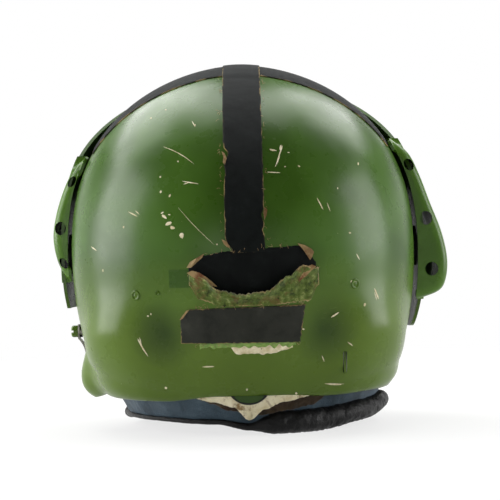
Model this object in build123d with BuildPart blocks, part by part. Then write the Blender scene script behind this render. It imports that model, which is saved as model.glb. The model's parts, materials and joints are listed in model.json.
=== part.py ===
from build123d import *
import os
from math import acos, atan2, cos, degrees, exp, hypot, pi, radians, sin, sqrt

# Pilot flight helmet: a moulded shell, a visor under a cover, ear cups, pads and a taped back.
# The wearer faces -Y, +X is the wearer's left and +Z is up. The origin is the centre of the neck
# opening, on the surface that the helmet stands on. Everything is in millimetres.

# Shell: one rounded form about the visor's axis, which runs from side to side
pivot_height = 122.0
shell_half_width = 120.0
crown_reach = 129.3
front_reach = crown_reach
rear_reach = 138.0
low_reach = 152.0
shell_wall = 3.0
rim_height = 27.0
side_fullness_share = 1.85
crown_fullness_share = 2.45
cap_radius = 9.0
form_rings = 18
form_points = 40
ear_bulge_proud = 13.0
ear_bulge_out = 80.0
ear_bulge_drop = 72.0
ear_bulge_y = 80.0
ear_bulge_width = 34.0
ear_bulge_depth = 52.0
ear_bulge_height = 37.0

# Face opening, seen from the side, and the beading round it
cheek_low_y = -69.0
cheek_high_y = -57.0
cheek_high_z = 104.0
brow_height = 150.0
temple_radius = 38.0
beading_width = 7.0
beading_proud = 1.1
beading_gap = 0.35
beading_floor_gap = 1.0

# Boss for the communications lead, low on the wearer's left
lead_boss_radius = 17.0
lead_boss_y = 26.0
lead_boss_height = 35.0
lead_boss_sunk = 3.0
lead_outlet_radius = 3.2
lead_outlet_out = 5.5
grommet_lip = 2.2
grommet_height = 5.0

# Strap slots in the wearer's right bulge
slot_length = 15.0
slot_width = 2.6
slot_drop = 75.0
slot_out = 65.0
side_slot_drop = 63.0
side_slot_y = 34.0

# Clearances, and one overrun for the cuts
seat_gap = 0.3
tape_gap = 0.2
lap_gap = 0.1
pin_clearance = 0.05
overrun = 20.0

# Visor: lens, arms, rivets and trim, all turned about the visor's axis
lens_thickness = 2.0
lens_half_width = 100.0
lens_top_angle = 160.0
lens_low_angle = 209.0
nose_angle = 11.0
nose_half_width = 30.0
lens_trim_height = 4.0
lens_trim_proud = 0.6
arm_grow = 1.6
arm_thickness = 1.2
arm_boss_radius = 14.0
arm_width = 20.0
arm_reach = 91.0
arm_tilt = 184.0
arm_end_width = 18.0
arm_end_height = 34.0
arm_rivet_reach = 82.0
rivet_step = 11.0
rivet_radius = 2.2
rivet_head = 0.3

# Pivots
pin_radius = 4.0
pin_inner_x = 108.0
pin_head_radius = 5.5
pin_head_height = 0.8
pin_slot_width = 1.6
washer_radius = 11.0
washer_thickness = 1.25
nut_radius = 8.0
nut_thickness = 3.0

# Visor cover, cut to an outline seen from the side
cover_gap = 0.8
cover_wall = 2.2
cover_rear_y = -38.0
cover_rear_rise = 112.0
cover_shoulder_rise = 58.0
cover_lobe_y = 14.0
cover_lobe_drop = 57.0
cover_lobe_taper = 10.0
cover_lobe_length = 40.0
cover_front_y = 66.0
cover_temple_y = 80.0
cover_brow_rise = 33.0
cover_corner = 12.0
left_lobe_drop = 38.0

# Pods over the pivots, with three holes in each rear wall
pod_seat = 0.15
pod_wall = 2.2
pod_wall_grow = 2.6
pod_rear_wall = 2.5
pod_rear_y = 20.0
pod_front_y = -60.0
pod_root_x = 100.0
right_pod_reach = 23.4
right_pod_top = 76.0
left_pod_reach = 12.8
left_pod_top = 69.0
pod_hole_radius = 4.2

# Liner and fitting pads
liner_thickness = 16.0
liner_rear_height = 62.0
liner_side_height = 146.0
liner_side_y = 58.0
liner_side_radius = 26.0
liner_setback = 9.0
liner_rings = 16
liner_points = 32
pad_thickness = 9.0
pad_edge = 1.6
crown_pad_half_width = 46.0
brow_pad_half_width = 58.0
nape_pad_half_width = 40.0
crown_pad_angles = (66, 122)
brow_pad_angles = (146, 164)
nape_pad_angles = (-24, 4)

# Ear cups, their cushions, earphones and spacers
cup_height = 82.0
cup_width = 64.0
cup_corner = 30.0
cup_centre_y = 4.0
cup_centre_drop = 45.0
cup_rim_x = 70.0
cup_depth = 22.0
cup_wall = 2.5
cup_edge = 9.0
cup_taper = 8.0
seal_depth = 15.0
seal_ring = 13.0
seal_edge = 5.0
earphone_radius = 20.0
earphone_thickness = 8.0
cup_pad_half_height = 22.0
cup_pad_half_length = 20.0

# Neck skirt, its edge roll and the torn lining; turns are degrees round from the rear
skirt_top = 40.0
skirt_wall = 2.6
skirt_lift = 1.8
roll_radius = 8.5
roll_side_rise = 9.0
roll_inset = 12.0
flat_depth = 0.5
roll_turns = (-122, -104, -82, -55, -28, -12, -1, 12, 45, 75, 100, 122)
roll_radius_shares = (0.75, 0.75, 0.76, 0.88, 1.0, 0.95, 0.36, 0.34, 0.32, 0.34, 0.6, 0.75)
roll_rise_shares = (0, 0.5, 1.0, 0.5, 0, 0, 0.35, 0.8, 0.95, 0.95, 0.5, 0)
roll_inset_shares = (0.9, 0.55, 0.25, 0.45, 0.8, 0.85, 0.9, 0.95, 1.0, 1.0, 1.0, 1.0)
cloth_thickness = 1.2
cloth_turns = (-32, -26, -20, -14, -9, -5, -1, 3, 8, 14, 20)
cloth_point_turn = -1
cloth_point_z = 10.2
cloth_side_z = 25.0
cloth_fold_share = 0.55

# Tapes on the back and over the crown; angles are degrees up from the rear
tape_thickness = 0.7
tape_width = 25.4
centre_tape_x = -2.0
centre_tape_low_angle = -1.0
centre_tape_high_angle = 96.0
crown_tape_low_angle = 65.0
crown_tape_high_angle = 87.0
crown_tape_half_width = 102.0
lower_tape_left = 41.0
lower_tape_right = -38.0
lower_tape_top = -36.0
lower_tape_low = -60.5
lower_tape_corner = 6.0

# Torn pocket: its patch, and the flap that hangs from it
patch_left = 35.0
patch_right = -44.0
patch_top = 3.0
patch_low = -27.0
patch_slope = 6.0
patch_rise = 8.0
patch_corner_share = 0.12
flap_top = -17.0
flap_low = -37.0
flap_stand = 4.0
flap_thickness = 1.3

# Rivets on the back, each placed across and up from the axis, and the tongue under the rim
left_rivet = (72.0, -28.5)
right_rivet = (-73.5, -23.0)
small_rivet = (57.5, -27.0)
back_rivet_radius = 3.4
small_rivet_radius = 1.6
back_rivet_height = 0.9
rivet_taper = 30.0
tongue_width = 24.0
tongue_drop = 6.0
tongue_thickness = 2.4

# Mask hook on the wearer's left, and its plate on the wearer's right
hook_y = -4.0
hook_drop = 55.0
hook_width = 11.0
hook_thickness = 1.1
hook_length = 28.0
hook_bow = 3.5
hook_stand = 3.0
hook_flat = 5.0
hook_screw_radius = 4.2
hook_screw_height = 5.0
anchor_y = -38.0
anchor_drop = 71.0
anchor_length = 30.0
anchor_width = 16.0
anchor_thickness = 2.5
anchor_screw_radius = 2.6
anchor_screw_spacing = 18.0
anchor_screw_height = 1.2

# Chin strap, its buckle, pad and end blocks
strap_width = 20.0
strap_thickness = 1.6
strap_y = -42.0
strap_anchor_height = 62.0
strap_low = 15.0
strap_block_thickness = 2.5
strap_end_gap = 0.2
strap_buckle_x = 26.0
buckle_height = 5.0
buckle_length = 24.0
buckle_bar = 3.0
chin_pad_x = -8.0
chin_pad_half_length = 20.0
chin_pad_thickness = 9.0
chin_pad_over = 6.0
chin_pad_end_share = 0.93
chin_pad_length_shares = (-1, -0.9, -0.6, 0, 0.6, 0.9, 1)

os.makedirs("parts", exist_ok=True)
axis_x = Axis((0, 0, pivot_height), (1, 0, 0))
side_plane = Plane(origin=(0, 0, pivot_height), x_dir=(0, 1, 0), z_dir=(1, 0, 0))


def save(part, label):
    part.label = label
    export_step(part, "parts/" + label + ".step")
    print(label, len(part.solids()), round(part.volume), part.is_valid)


def spread(low, high, count):
    return [low + (high - low) * step / (count - 1) for step in range(count)]


def reach_at(x, angle, grow):
    """Distance of the form from the visor's axis, at a place across and an angle up from the rear."""
    side = (abs(x) / (shell_half_width + grow)) ** side_fullness_share
    share = max(0, 1 - side) ** (1 / crown_fullness_share)
    deep = (front_reach if cos(angle) < 0 else rear_reach) + grow
    tall = (crown_reach if sin(angle) > 0 else low_reach) + grow
    return share / hypot(cos(angle) / deep, sin(angle) / tall)


def half_width_at(y, z, grow):
    """Distance of the form from the middle plane, at a place seen from the side."""
    deep = (front_reach if y < 0 else rear_reach) + grow
    tall = (crown_reach if z > pivot_height else low_reach) + grow
    share = min(1, hypot(y / deep, (z - pivot_height) / tall))
    return (shell_half_width + grow) * (1 - share ** crown_fullness_share) ** (1 / side_fullness_share)


def depth_at(x, z, grow):
    """Distance of the back of the form behind the visor's axis, seen from the back."""
    side = (abs(x) / (shell_half_width + grow)) ** side_fullness_share
    share = (1 - side) ** (1 / crown_fullness_share)
    tall = (crown_reach if z > pivot_height else low_reach) + grow
    return (rear_reach + grow) * sqrt(max(0, share ** 2 - ((z - pivot_height) / tall) ** 2))


def bulge_at(x, y, z):
    """How far the form swells behind and below each ear."""
    across = (abs(x) - ear_bulge_out) / ear_bulge_width
    back = (y - ear_bulge_y) / ear_bulge_depth
    down = (z - pivot_height + ear_bulge_drop) / ear_bulge_height
    return ear_bulge_proud * exp(-hypot(across, back, down) ** 3)


def plan_point(turn, z, grow, bulged):
    """A point of the form's outline at one height, at an angle round from the rear."""
    low, high = 0, 2 * rear_reach
    for _ in range(40):
        middle = (low + high) / 2
        x, y = middle * sin(turn), middle * cos(turn)
        inside = abs(x) < half_width_at(y, z, grow)
        low, high = (middle, high) if inside else (low, middle)
    x, y = low * sin(turn), low * cos(turn)
    reach = low + (bulge_at(x, y, z) if bulged else 0)
    return reach * sin(turn), reach * cos(turn)


def rounded_form(grow, low_z, bulged, rings, points):
    """The whole helmet form, from a height up to a small flat at the crown."""
    top = crown_reach + grow
    high_turn = acos(cap_radius / top)
    low_turn = -acos(sqrt(1 - ((pivot_height - low_z) / (low_reach + grow)) ** 2))
    with BuildPart() as form:
        for turn in spread(low_turn, high_turn, rings):
            z = pivot_height + (top if turn > 0 else low_reach + grow) * sin(turn)
            outline = [plan_point(2 * pi * n / points, z, grow, bulged) for n in range(points)]
            with BuildSketch(Plane.XY.offset(z)):
                with BuildLine():
                    Spline(*outline, periodic=True)
                make_face()
        loft()
    return form.part


def meridian(grow, hole):
    """Points of the turned form's outline from one side to the other, above the visor's axis."""
    points = []
    span = acos(hole / (crown_reach + grow))
    for turn in spread(-span, span, 33):
        share = cos(turn)
        out = (1 - share ** crown_fullness_share) ** (1 / side_fullness_share)
        across = (1 if turn > 0 else -1) * (shell_half_width + grow) * out
        points.append((across, share * (crown_reach + grow)))
    return points


def turned_shell(low_grow, high_grow, hole):
    """A full turned shell between two offsets of the form, with a hole at each end."""
    high, low = meridian(high_grow, hole), meridian(low_grow, hole)
    with BuildPart() as band:
        with BuildSketch(Plane(origin=(0, 0, pivot_height), x_dir=(1, 0, 0), z_dir=(0, -1, 0))):
            with BuildLine():
                Spline(*high)
                Line(high[-1], low[-1])
                Spline(*low)
                Line(low[0], high[0])
            make_face()
        revolve(axis=axis_x)
    return band.part


def turned_block(grow):
    """A solid turned form, used to seat things on the cover."""
    points = meridian(grow, pin_radius)
    with BuildPart() as block:
        with BuildSketch(Plane(origin=(0, 0, pivot_height), x_dir=(1, 0, 0), z_dir=(0, -1, 0))):
            with BuildLine():
                Spline(*points)
                Polyline(points[-1], (points[-1][0], 0), (points[0][0], 0), points[0])
            make_face()
        revolve(axis=axis_x)
    return block.part


def conformal_strip(places, low_angle, high_angle, low_grow, high_grow, count=9):
    """A strip that follows the form, lofted across it; angles and offsets may vary with place."""
    with BuildPart() as strip:
        for x in places:
            start, end = radians(low_angle(x)), radians(high_angle(x))
            outer, inner = [], []
            for step, angle in enumerate(spread(start, end, count)):
                along = 2 * step / (count - 1) - 1
                far = reach_at(x, angle, high_grow(x, along))
                near = reach_at(x, angle, low_grow(x, along))
                outer.append((far * cos(angle), far * sin(angle)))
                inner.append((near * cos(angle), near * sin(angle)))
            with BuildSketch(side_plane.offset(x)):
                with BuildLine():
                    Spline(*outer)
                    Line(outer[-1], inner[-1])
                    Spline(*inner)
                    Line(inner[0], outer[0])
                make_face()
        loft()
    return strip.part


def back_depth(x, z, grow):
    """Distance of the swollen form behind the axis, at a place seen from the back."""
    low, high = 0, 2 * rear_reach
    for _ in range(24):
        y = (low + high) / 2
        inside = hypot(x, y) < hypot(*plan_point(atan2(x, y), z, grow, True))
        low, high = (y, high) if inside else (low, y)
    return low


def back_strip(left, right, top, low, low_grow, high_grow, count):
    """A patch on the back of the form, with edges that may slope, given as heights from the axis."""
    with BuildPart() as strip:
        for x in spread(right, left, count):
            outer, inner = [], []
            for step, rise in enumerate(spread(low(x), top(x), 7)):
                along = step / 3 - 1
                outer.append((back_depth(x, pivot_height + rise, high_grow(x, along)), rise))
                inner.append((back_depth(x, pivot_height + rise, low_grow(x, along)), rise))
            with BuildSketch(side_plane.offset(x)):
                with BuildLine():
                    Spline(*outer)
                    Line(outer[-1], inner[-1])
                    Spline(*inner)
                    Line(inner[0], outer[0])
                make_face()
        loft()
    return strip.part


def outward_at(x, y, z):
    """The direction that points straight out of the form near a point."""
    deep = front_reach if y < 0 else rear_reach
    tall = crown_reach if z > pivot_height else low_reach
    up = z - pivot_height
    share = hypot(y / deep, up / tall)
    side_slope = side_fullness_share * (abs(x) / shell_half_width) ** (side_fullness_share - 1)
    ring_slope = crown_fullness_share * share ** (crown_fullness_share - 2)
    return Vector((1 if x > 0 else -1) * side_slope / shell_half_width,
                  ring_slope * y / deep ** 2, ring_slope * up / tall ** 2).normalized()


def surface_plane(x, z, rear, lift):
    """A plane on the swollen form, behind or in front of the axis, with its normal pointing out."""
    turn = atan2(x, depth_at(x, z, 0) * (1 if rear else -front_reach / rear_reach))
    step = overrun / rear_reach
    here = Vector(*plan_point(turn, z, 0, True), z)
    beside = Vector(*plan_point(turn + step / 10, z, 0, True), z)
    above = Vector(*plan_point(turn, z + step, 0, True), z + step)
    outward = (above - here).cross(beside - here).normalized()
    return Plane(origin=here + outward * lift, x_dir=Vector(0, 0, 1).cross(outward), z_dir=outward)


def side_prism(points, corner, radius, reach):
    """A prism across the helmet from an outline seen from the side, with one rounded corner."""
    with BuildPart() as prism:
        with BuildSketch(Plane.YZ) as outline:
            with BuildLine():
                Polyline(*points, close=True)
            make_face()
            fillet(outline.vertices().sort_by_distance((*corner, 0))[0], radius)
        extrude(amount=reach, both=True)
    return prism.part


def opening_prism(back_by, up_by):
    """The space of the face opening, from side to side, with room in front and below."""
    high_y, top = cheek_high_y + back_by, brow_height + up_by
    points = ((-2 * front_reach, -overrun), (cheek_low_y + back_by, -overrun),
              (cheek_low_y + back_by, rim_height), (high_y, cheek_high_z), (high_y, top),
              (-2 * front_reach, top))
    return side_prism(points, (high_y, top), temple_radius, 2 * shell_half_width)


# Outer shell, with the ear bulges, the lead boss, the face opening, slots and pivot holes
boss_x = half_width_at(lead_boss_y, lead_boss_height, 0) - lead_boss_sunk
boss_centre = (boss_x, lead_boss_y, lead_boss_height)
with BuildPart() as outer_shell:
    add(rounded_form(0, rim_height, True, form_rings, form_points))
    with Locations(boss_centre):
        Sphere(lead_boss_radius)
    with BuildSketch(Plane.XY.offset(rim_height)):
        with Locations((boss_x, lead_boss_y)):
            Circle(2 * lead_boss_radius)
    extrude(amount=-2 * lead_boss_radius, mode=Mode.SUBTRACT)
    inner_form = rounded_form(-shell_wall, rim_height - shell_wall, True, form_rings, form_points)
    add(inner_form, mode=Mode.SUBTRACT)
    with Locations(boss_centre):
        Sphere(lead_boss_radius - shell_wall, mode=Mode.SUBTRACT)
    add(opening_prism(0, 0), mode=Mode.SUBTRACT)
    with BuildSketch(side_plane):
        Circle(pin_radius + pin_clearance)
    extrude(amount=2 * shell_half_width, both=True, mode=Mode.SUBTRACT)
    with BuildSketch(Plane.XZ.offset(-ear_bulge_width)):
        with Locations((-slot_out, pivot_height - slot_drop)):
            SlotOverall(slot_length, slot_width, rotation=90)
    extrude(amount=-rear_reach, mode=Mode.SUBTRACT)
    with BuildSketch(Plane.YZ):
        with Locations((side_slot_y, pivot_height - side_slot_drop)):
            SlotOverall(slot_length, slot_width, rotation=90)
    extrude(amount=-2 * shell_half_width, mode=Mode.SUBTRACT)
save(outer_shell.part, "outer_shell")

# Rubber grommet in the open foot of the lead boss
with BuildPart() as lead_grommet:
    with BuildSketch(Plane.XY.offset(rim_height - grommet_lip)):
        with Locations((boss_x + lead_outlet_out, lead_boss_y)):
            Circle(lead_outlet_radius + grommet_lip)
            Circle(lead_outlet_radius, mode=Mode.SUBTRACT)
    extrude(amount=grommet_height)
    chamfer(lead_grommet.edges().sort_by(Axis.Z)[0:2], grommet_lip / 4)
save(lead_grommet.part, "lead_grommet")

# Beading: a U-shaped rubber profile along the edge of the face opening
wall_middle = -shell_wall / 2


def beading_path():
    """Points along the edge of the face opening, from the wearer's left round to the right."""
    cheek = [(cheek_low_y, rim_height + seat_gap)]
    cheek += [(y, z) for y, z in zip(spread(cheek_low_y, cheek_high_y, 12)[1:],
                                     spread(rim_height, cheek_high_z, 12)[1:])]
    turn_y, turn_z = cheek_high_y - temple_radius, brow_height - temple_radius
    for turn in spread(0, pi / 2, 7):
        cheek.append((turn_y + temple_radius * cos(turn), turn_z + temple_radius * sin(turn)))
    side = [(half_width_at(y, z, wall_middle), y, z) for y, z in cheek]
    brow_out = half_width_at(turn_y, brow_height, wall_middle)
    rise = (brow_height - pivot_height) / (crown_reach + wall_middle)
    brow = []
    for x in spread(brow_out, 0, 11)[1:]:
        side_part = (x / (shell_half_width + wall_middle)) ** side_fullness_share
        share = (1 - side_part) ** (1 / crown_fullness_share)
        brow.append((x, -(front_reach + wall_middle) * sqrt(share ** 2 - rise ** 2), brow_height))
    left = side + brow
    return left + [(-x, y, z) for x, y, z in reversed(left[:-1])]


with BuildPart() as face_beading:
    path = beading_path()
    for here, before, after in zip(path, path[:1] + path[:-1], path[1:] + path[-1:]):
        along = (Vector(*after) - Vector(*before)).normalized()
        outward = outward_at(*here)
        outward = (outward - along * outward.dot(along)).normalized()
        inner_side, outer_side = -shell_wall / 2, shell_wall / 2
        with BuildSketch(Plane(origin=here, x_dir=outward, z_dir=along)):
            with BuildLine():
                Polyline((inner_side - beading_gap, beading_width),
                         (inner_side - beading_gap, -beading_floor_gap),
                         (outer_side + beading_gap, -beading_floor_gap),
                         (outer_side + beading_gap, beading_width),
                         (outer_side + beading_proud, beading_width),
                         (outer_side + beading_proud, -2 * beading_floor_gap),
                         (inner_side - beading_proud, -2 * beading_floor_gap),
                         (inner_side - beading_proud, beading_width), close=True)
            make_face()
    loft(ruled=True)
save(face_beading.part, "face_beading")

# Heights of the visor's layers above the shell, from the arm outwards
arm_high = arm_grow + arm_thickness
lens_bottom = arm_high + lap_gap
lens_top = lens_bottom + lens_thickness
cover_low = lens_top + cover_gap
cover_high = cover_low + cover_wall
pin_seat = shell_half_width + cover_high + pod_seat

# Visor cover: a turned shell cut to its outline as seen from the side
with BuildPart() as visor_cover:
    add(turned_shell(cover_low, cover_high, pin_radius + pin_clearance))
    with BuildSketch(side_plane) as cover_outline:
        with BuildLine():
            Polyline((cover_rear_y, 2 * crown_reach), (cover_rear_y, cover_rear_rise),
                     (cover_lobe_y, cover_shoulder_rise), (cover_lobe_y, -cover_lobe_drop / 2),
                     (cover_lobe_y - cover_lobe_taper, -cover_lobe_drop),
                     (-cover_lobe_length, -cover_lobe_drop), (-cover_front_y, -cover_lobe_drop / 3),
                     (-cover_temple_y, cover_brow_rise), (-2 * front_reach, cover_brow_rise),
                     (-2 * front_reach, 2 * crown_reach), close=True)
        make_face()
        fillet(cover_outline.vertices().filter_by(lambda v: v.Y < cover_rear_rise + seat_gap
                                                  and v.X > -front_reach), cover_corner)
    extrude(amount=2 * shell_half_width, both=True, mode=Mode.INTERSECT)
    with BuildSketch(side_plane.offset(pod_root_x)):
        with Locations((0, -left_lobe_drop - overrun)):
            Rectangle(4 * cover_lobe_length, 2 * overrun)
    extrude(amount=2 * overrun, mode=Mode.SUBTRACT)
save(visor_cover.part, "visor_cover")

# Pods: hollow housings on the cover's lobes, with a closed rear wall that holds three holes
right_pod_shares = ((-0.62, 1.0), (-0.1, 0.86), (0.22, 0.66), (0.52, 0.4), (0.84, 0.13),
                    (1.0, -0.12), (0.94, -0.32), (0.7, -0.43), (0.05, -0.5))
left_pod_shares = ((-1.0, 1.0), (-0.35, 0.9), (0.2, 0.73), (0.66, 0.51), (0.94, 0.3),
                   (1.0, 0.13), (0.8, -0.07), (0.4, -0.22), (0.03, -0.29))
pod_length_shares = ((0, 1.0, 1.0), (0.3, 0.98, 0.98), (0.6, 0.85, 0.88), (0.85, 0.55, 0.7), (1.0, 0.2, 0.5))
right_hole_shares = ((-0.2, 0.73), (0.35, 0.25), (0.45, -0.2))
left_hole_shares = ((-0.25, 0.76), (0.4, 0.27), (0.3, -0.1))


def pod_outline(side, reach, top, shares, out_scale, up_scale, inset):
    """Outline of a pod seen from behind, as points out from the axis and up from it."""
    points = [(side * (shell_half_width + out * reach * out_scale - inset), up * (top * up_scale - inset))
              for out, up in shares]
    root_x = side * (pod_root_x - inset)
    return points + [(root_x, points[-1][1]), (root_x, points[0][1])]


def pod_body(side, reach, top, shares, inset):
    """The pod's outer form, or with an inset the space inside it."""
    with BuildPart() as body:
        for along, out_scale, up_scale in pod_length_shares:
            rear, front = pod_rear_y - pod_rear_wall - inset / 4, pod_front_y + inset
            points = pod_outline(side, reach, top, shares, out_scale, up_scale, inset)
            with BuildSketch(Plane(origin=(0, rear + (front - rear) * along, pivot_height),
                                   x_dir=(1, 0, 0), z_dir=(0, -1, 0))):
                with BuildLine():
                    Spline(*points[:-2])
                    Polyline(points[-3], points[-2], points[-1], points[0])
                make_face()
        loft()
    return body.part


cover_seat = turned_block(cover_high + pod_seat)
wall_seat = turned_block(pod_wall_grow)
pods = (("pod_right", -1, right_pod_reach, right_pod_top, right_pod_shares, right_hole_shares),
        ("pod_left", 1, left_pod_reach, left_pod_top, left_pod_shares, left_hole_shares))
for name, side, reach, top, shares, holes in pods:
    rear_outline = pod_outline(side, reach, top, shares, 1, 1, 0)
    rear_plane = Plane(origin=(0, pod_rear_y, pivot_height), x_dir=(1, 0, 0), z_dir=(0, -1, 0))
    with BuildPart() as rear_wall:
        with BuildSketch(rear_plane):
            with BuildLine():
                Spline(*rear_outline[:-2])
                Polyline(rear_outline[-3], rear_outline[-2], rear_outline[-1], rear_outline[0])
            make_face()
        extrude(amount=pod_rear_wall)
        add(wall_seat, mode=Mode.SUBTRACT)
    with BuildPart() as pod:
        add(pod_body(side, reach, top, shares, 0))
        add(pod_body(side, reach, top, shares, pod_wall), mode=Mode.SUBTRACT)
        add(cover_seat, mode=Mode.SUBTRACT)
        add(rear_wall.part)
        with BuildSketch(rear_plane):
            with Locations(*[(side * (shell_half_width + out * reach), up * top) for out, up in holes]):
                Circle(pod_hole_radius)
        extrude(amount=2 * pod_rear_wall, mode=Mode.SUBTRACT)
        with BuildSketch(Plane(origin=(0, 0, pivot_height), x_dir=(0, 1, 0), z_dir=(side, 0, 0))):
            Circle(pin_head_radius + seat_gap)
        extrude(amount=pin_seat + pin_head_height + seat_gap, mode=Mode.SUBTRACT)
    save(pod.part, name)


# Visor: lens, two arms, their rivets and a lower edge trim, which turn together
def lens_low(x, along=0):
    return lens_low_angle - nose_angle * exp(-(x / nose_half_width) ** 2)


def lens_band(low_grow, high_grow, start_angle, end_angle, name):
    """A band of the lens, lofted across from arcs about the visor's axis."""
    with BuildPart() as band:
        for x in spread(-lens_half_width, lens_half_width, 19):
            start, end = radians(start_angle(x)), radians(end_angle(x))
            middle = (start + end) / 2
            far, near = reach_at(x, pi, high_grow), reach_at(x, pi, low_grow)
            high = [(far * cos(turn), far * sin(turn)) for turn in (start, middle, end)]
            low = [(near * cos(turn), near * sin(turn)) for turn in (start, middle, end)]
            with BuildSketch(side_plane.offset(x)):
                with BuildLine():
                    ThreePointArc(*high)
                    Line(high[2], low[2])
                    ThreePointArc(*low)
                    Line(low[0], high[0])
                make_face()
        loft()
    save(band.part, name)


trim_turn = degrees(lens_trim_height / crown_reach)
lap_turn = degrees(2 * lap_gap / crown_reach)
lens_band(lens_bottom, lens_top, lambda x: lens_top_angle, lens_low, "visor_lens")
lens_band(lens_bottom - lens_trim_proud, lens_top + lens_trim_proud / 2,
          lambda x: lens_low(x) + lap_turn, lambda x: lens_low(x) + lap_turn + trim_turn, "visor_edge_trim")

arm_band = turned_shell(arm_grow, arm_high, pin_radius + pin_clearance)
for name, side in (("visor_arm_left", 1), ("visor_arm_right", -1)):
    with BuildPart() as arm:
        add(arm_band)
        with BuildSketch(side_plane) as arm_outline:
            Circle(arm_boss_radius)
            with Locations(Location((0, 0, 0), (0, 0, arm_tilt))):
                with Locations((arm_reach / 2, 0)):
                    Rectangle(arm_reach, arm_width)
                with Locations((arm_reach - arm_end_width / 2, 0)):
                    RectangleRounded(arm_end_width, arm_end_height, arm_end_width / 3)
        extrude(amount=side * 2 * shell_half_width, mode=Mode.INTERSECT)
    save(arm.part, name)

# Rivets through the lens and the ends of the arms
with BuildPart() as visor_rivets:
    for side in (-1, 1):
        for step in (-1, 1):
            angle = radians(arm_tilt) + step * rivet_step / arm_rivet_reach
            y, z = arm_rivet_reach * cos(angle), pivot_height + arm_rivet_reach * sin(angle)
            place = surface_plane(side * half_width_at(y, z, 0), z, False, lens_top + tape_gap)
            with BuildSketch(place):
                Circle(rivet_radius)
            extrude(amount=rivet_head)
save(visor_rivets.part, "visor_rivets")

# Pivots: a pin from inside the shell to outside the cover, a washer under the arm, and a nut
for name, side in (("left", 1), ("right", -1)):
    outward = Plane(origin=(0, 0, pivot_height), x_dir=(0, 1, 0), z_dir=(side, 0, 0))
    with BuildPart() as pivot_pin:
        with BuildSketch(outward.offset(pin_inner_x)):
            Circle(pin_radius)
        extrude(amount=pin_seat - pin_inner_x)
        with BuildSketch(outward.offset(pin_seat)):
            Circle(pin_head_radius)
        extrude(amount=pin_head_height)
        chamfer(pivot_pin.edges().group_by(SortBy.DISTANCE)[-1], pin_head_height / 3)
        with BuildSketch(outward.offset(pin_seat + pin_head_height)):
            Rectangle(2 * pin_radius, pin_slot_width)
        extrude(amount=-pin_head_height / 2, mode=Mode.SUBTRACT)
    save(pivot_pin.part, "pivot_pin_" + name)
    with BuildPart() as friction_washer:
        with BuildSketch(outward.offset(shell_half_width + seat_gap / 3)):
            Circle(washer_radius)
            Circle(pin_radius + pin_clearance, mode=Mode.SUBTRACT)
        extrude(amount=washer_thickness)
    save(friction_washer.part, "friction_washer_" + name)
    with BuildPart() as pivot_nut:
        with BuildSketch(outward.offset(shell_half_width - shell_wall - nut_thickness - seat_gap)):
            RegularPolygon(nut_radius, 6)
            Circle(pin_radius + pin_clearance, mode=Mode.SUBTRACT)
        extrude(amount=nut_thickness)
    save(pivot_nut.part, "pivot_nut_" + name)

# Foam liner under the crown, the back and the brow, cut away round the ears
with BuildPart() as energy_liner:
    add(rounded_form(-shell_wall - seat_gap, liner_rear_height, False, liner_rings, liner_points))
    add(rounded_form(-shell_wall - seat_gap - liner_thickness, liner_rear_height - liner_thickness, False,
                     liner_rings, liner_points), mode=Mode.SUBTRACT)
    add(opening_prism(liner_setback, liner_setback), mode=Mode.SUBTRACT)
    side_corner = (liner_side_y, liner_side_height)
    side_outline = ((-2 * front_reach, -overrun), (liner_side_y, -overrun), side_corner,
                    (-2 * front_reach, liner_side_height))
    add(side_prism(side_outline, side_corner, liner_side_radius, 2 * shell_half_width), mode=Mode.SUBTRACT)
save(energy_liner.part, "energy_liner")

# Fitting pads inside the liner: cushions with a crown and drawn-in sides
pad_sections, pad_points = 9, 11
pad_outer = -shell_wall - seat_gap - liner_thickness - 2 * seat_gap


def swell_share(along):
    return sqrt(max(0, 1 - abs(along) ** 3))


def fitting_pad(name, half_width, angles):
    def inner(x, along):
        full = swell_share(x / half_width) * swell_share(along)
        return pad_outer - pad_edge - (pad_thickness - pad_edge) * full

    def outer(x, along):
        return pad_outer - pad_edge / 2 * (1 - swell_share(along) * swell_share(x / half_width))
    pad = conformal_strip(spread(-half_width, half_width, pad_sections), lambda x: angles[0],
                          lambda x: angles[1], inner, outer, pad_points)
    save(pad, name)


fitting_pad("crown_pad", crown_pad_half_width, crown_pad_angles)
fitting_pad("brow_pad", brow_pad_half_width, brow_pad_angles)
fitting_pad("nape_pad", nape_pad_half_width, nape_pad_angles)

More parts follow.
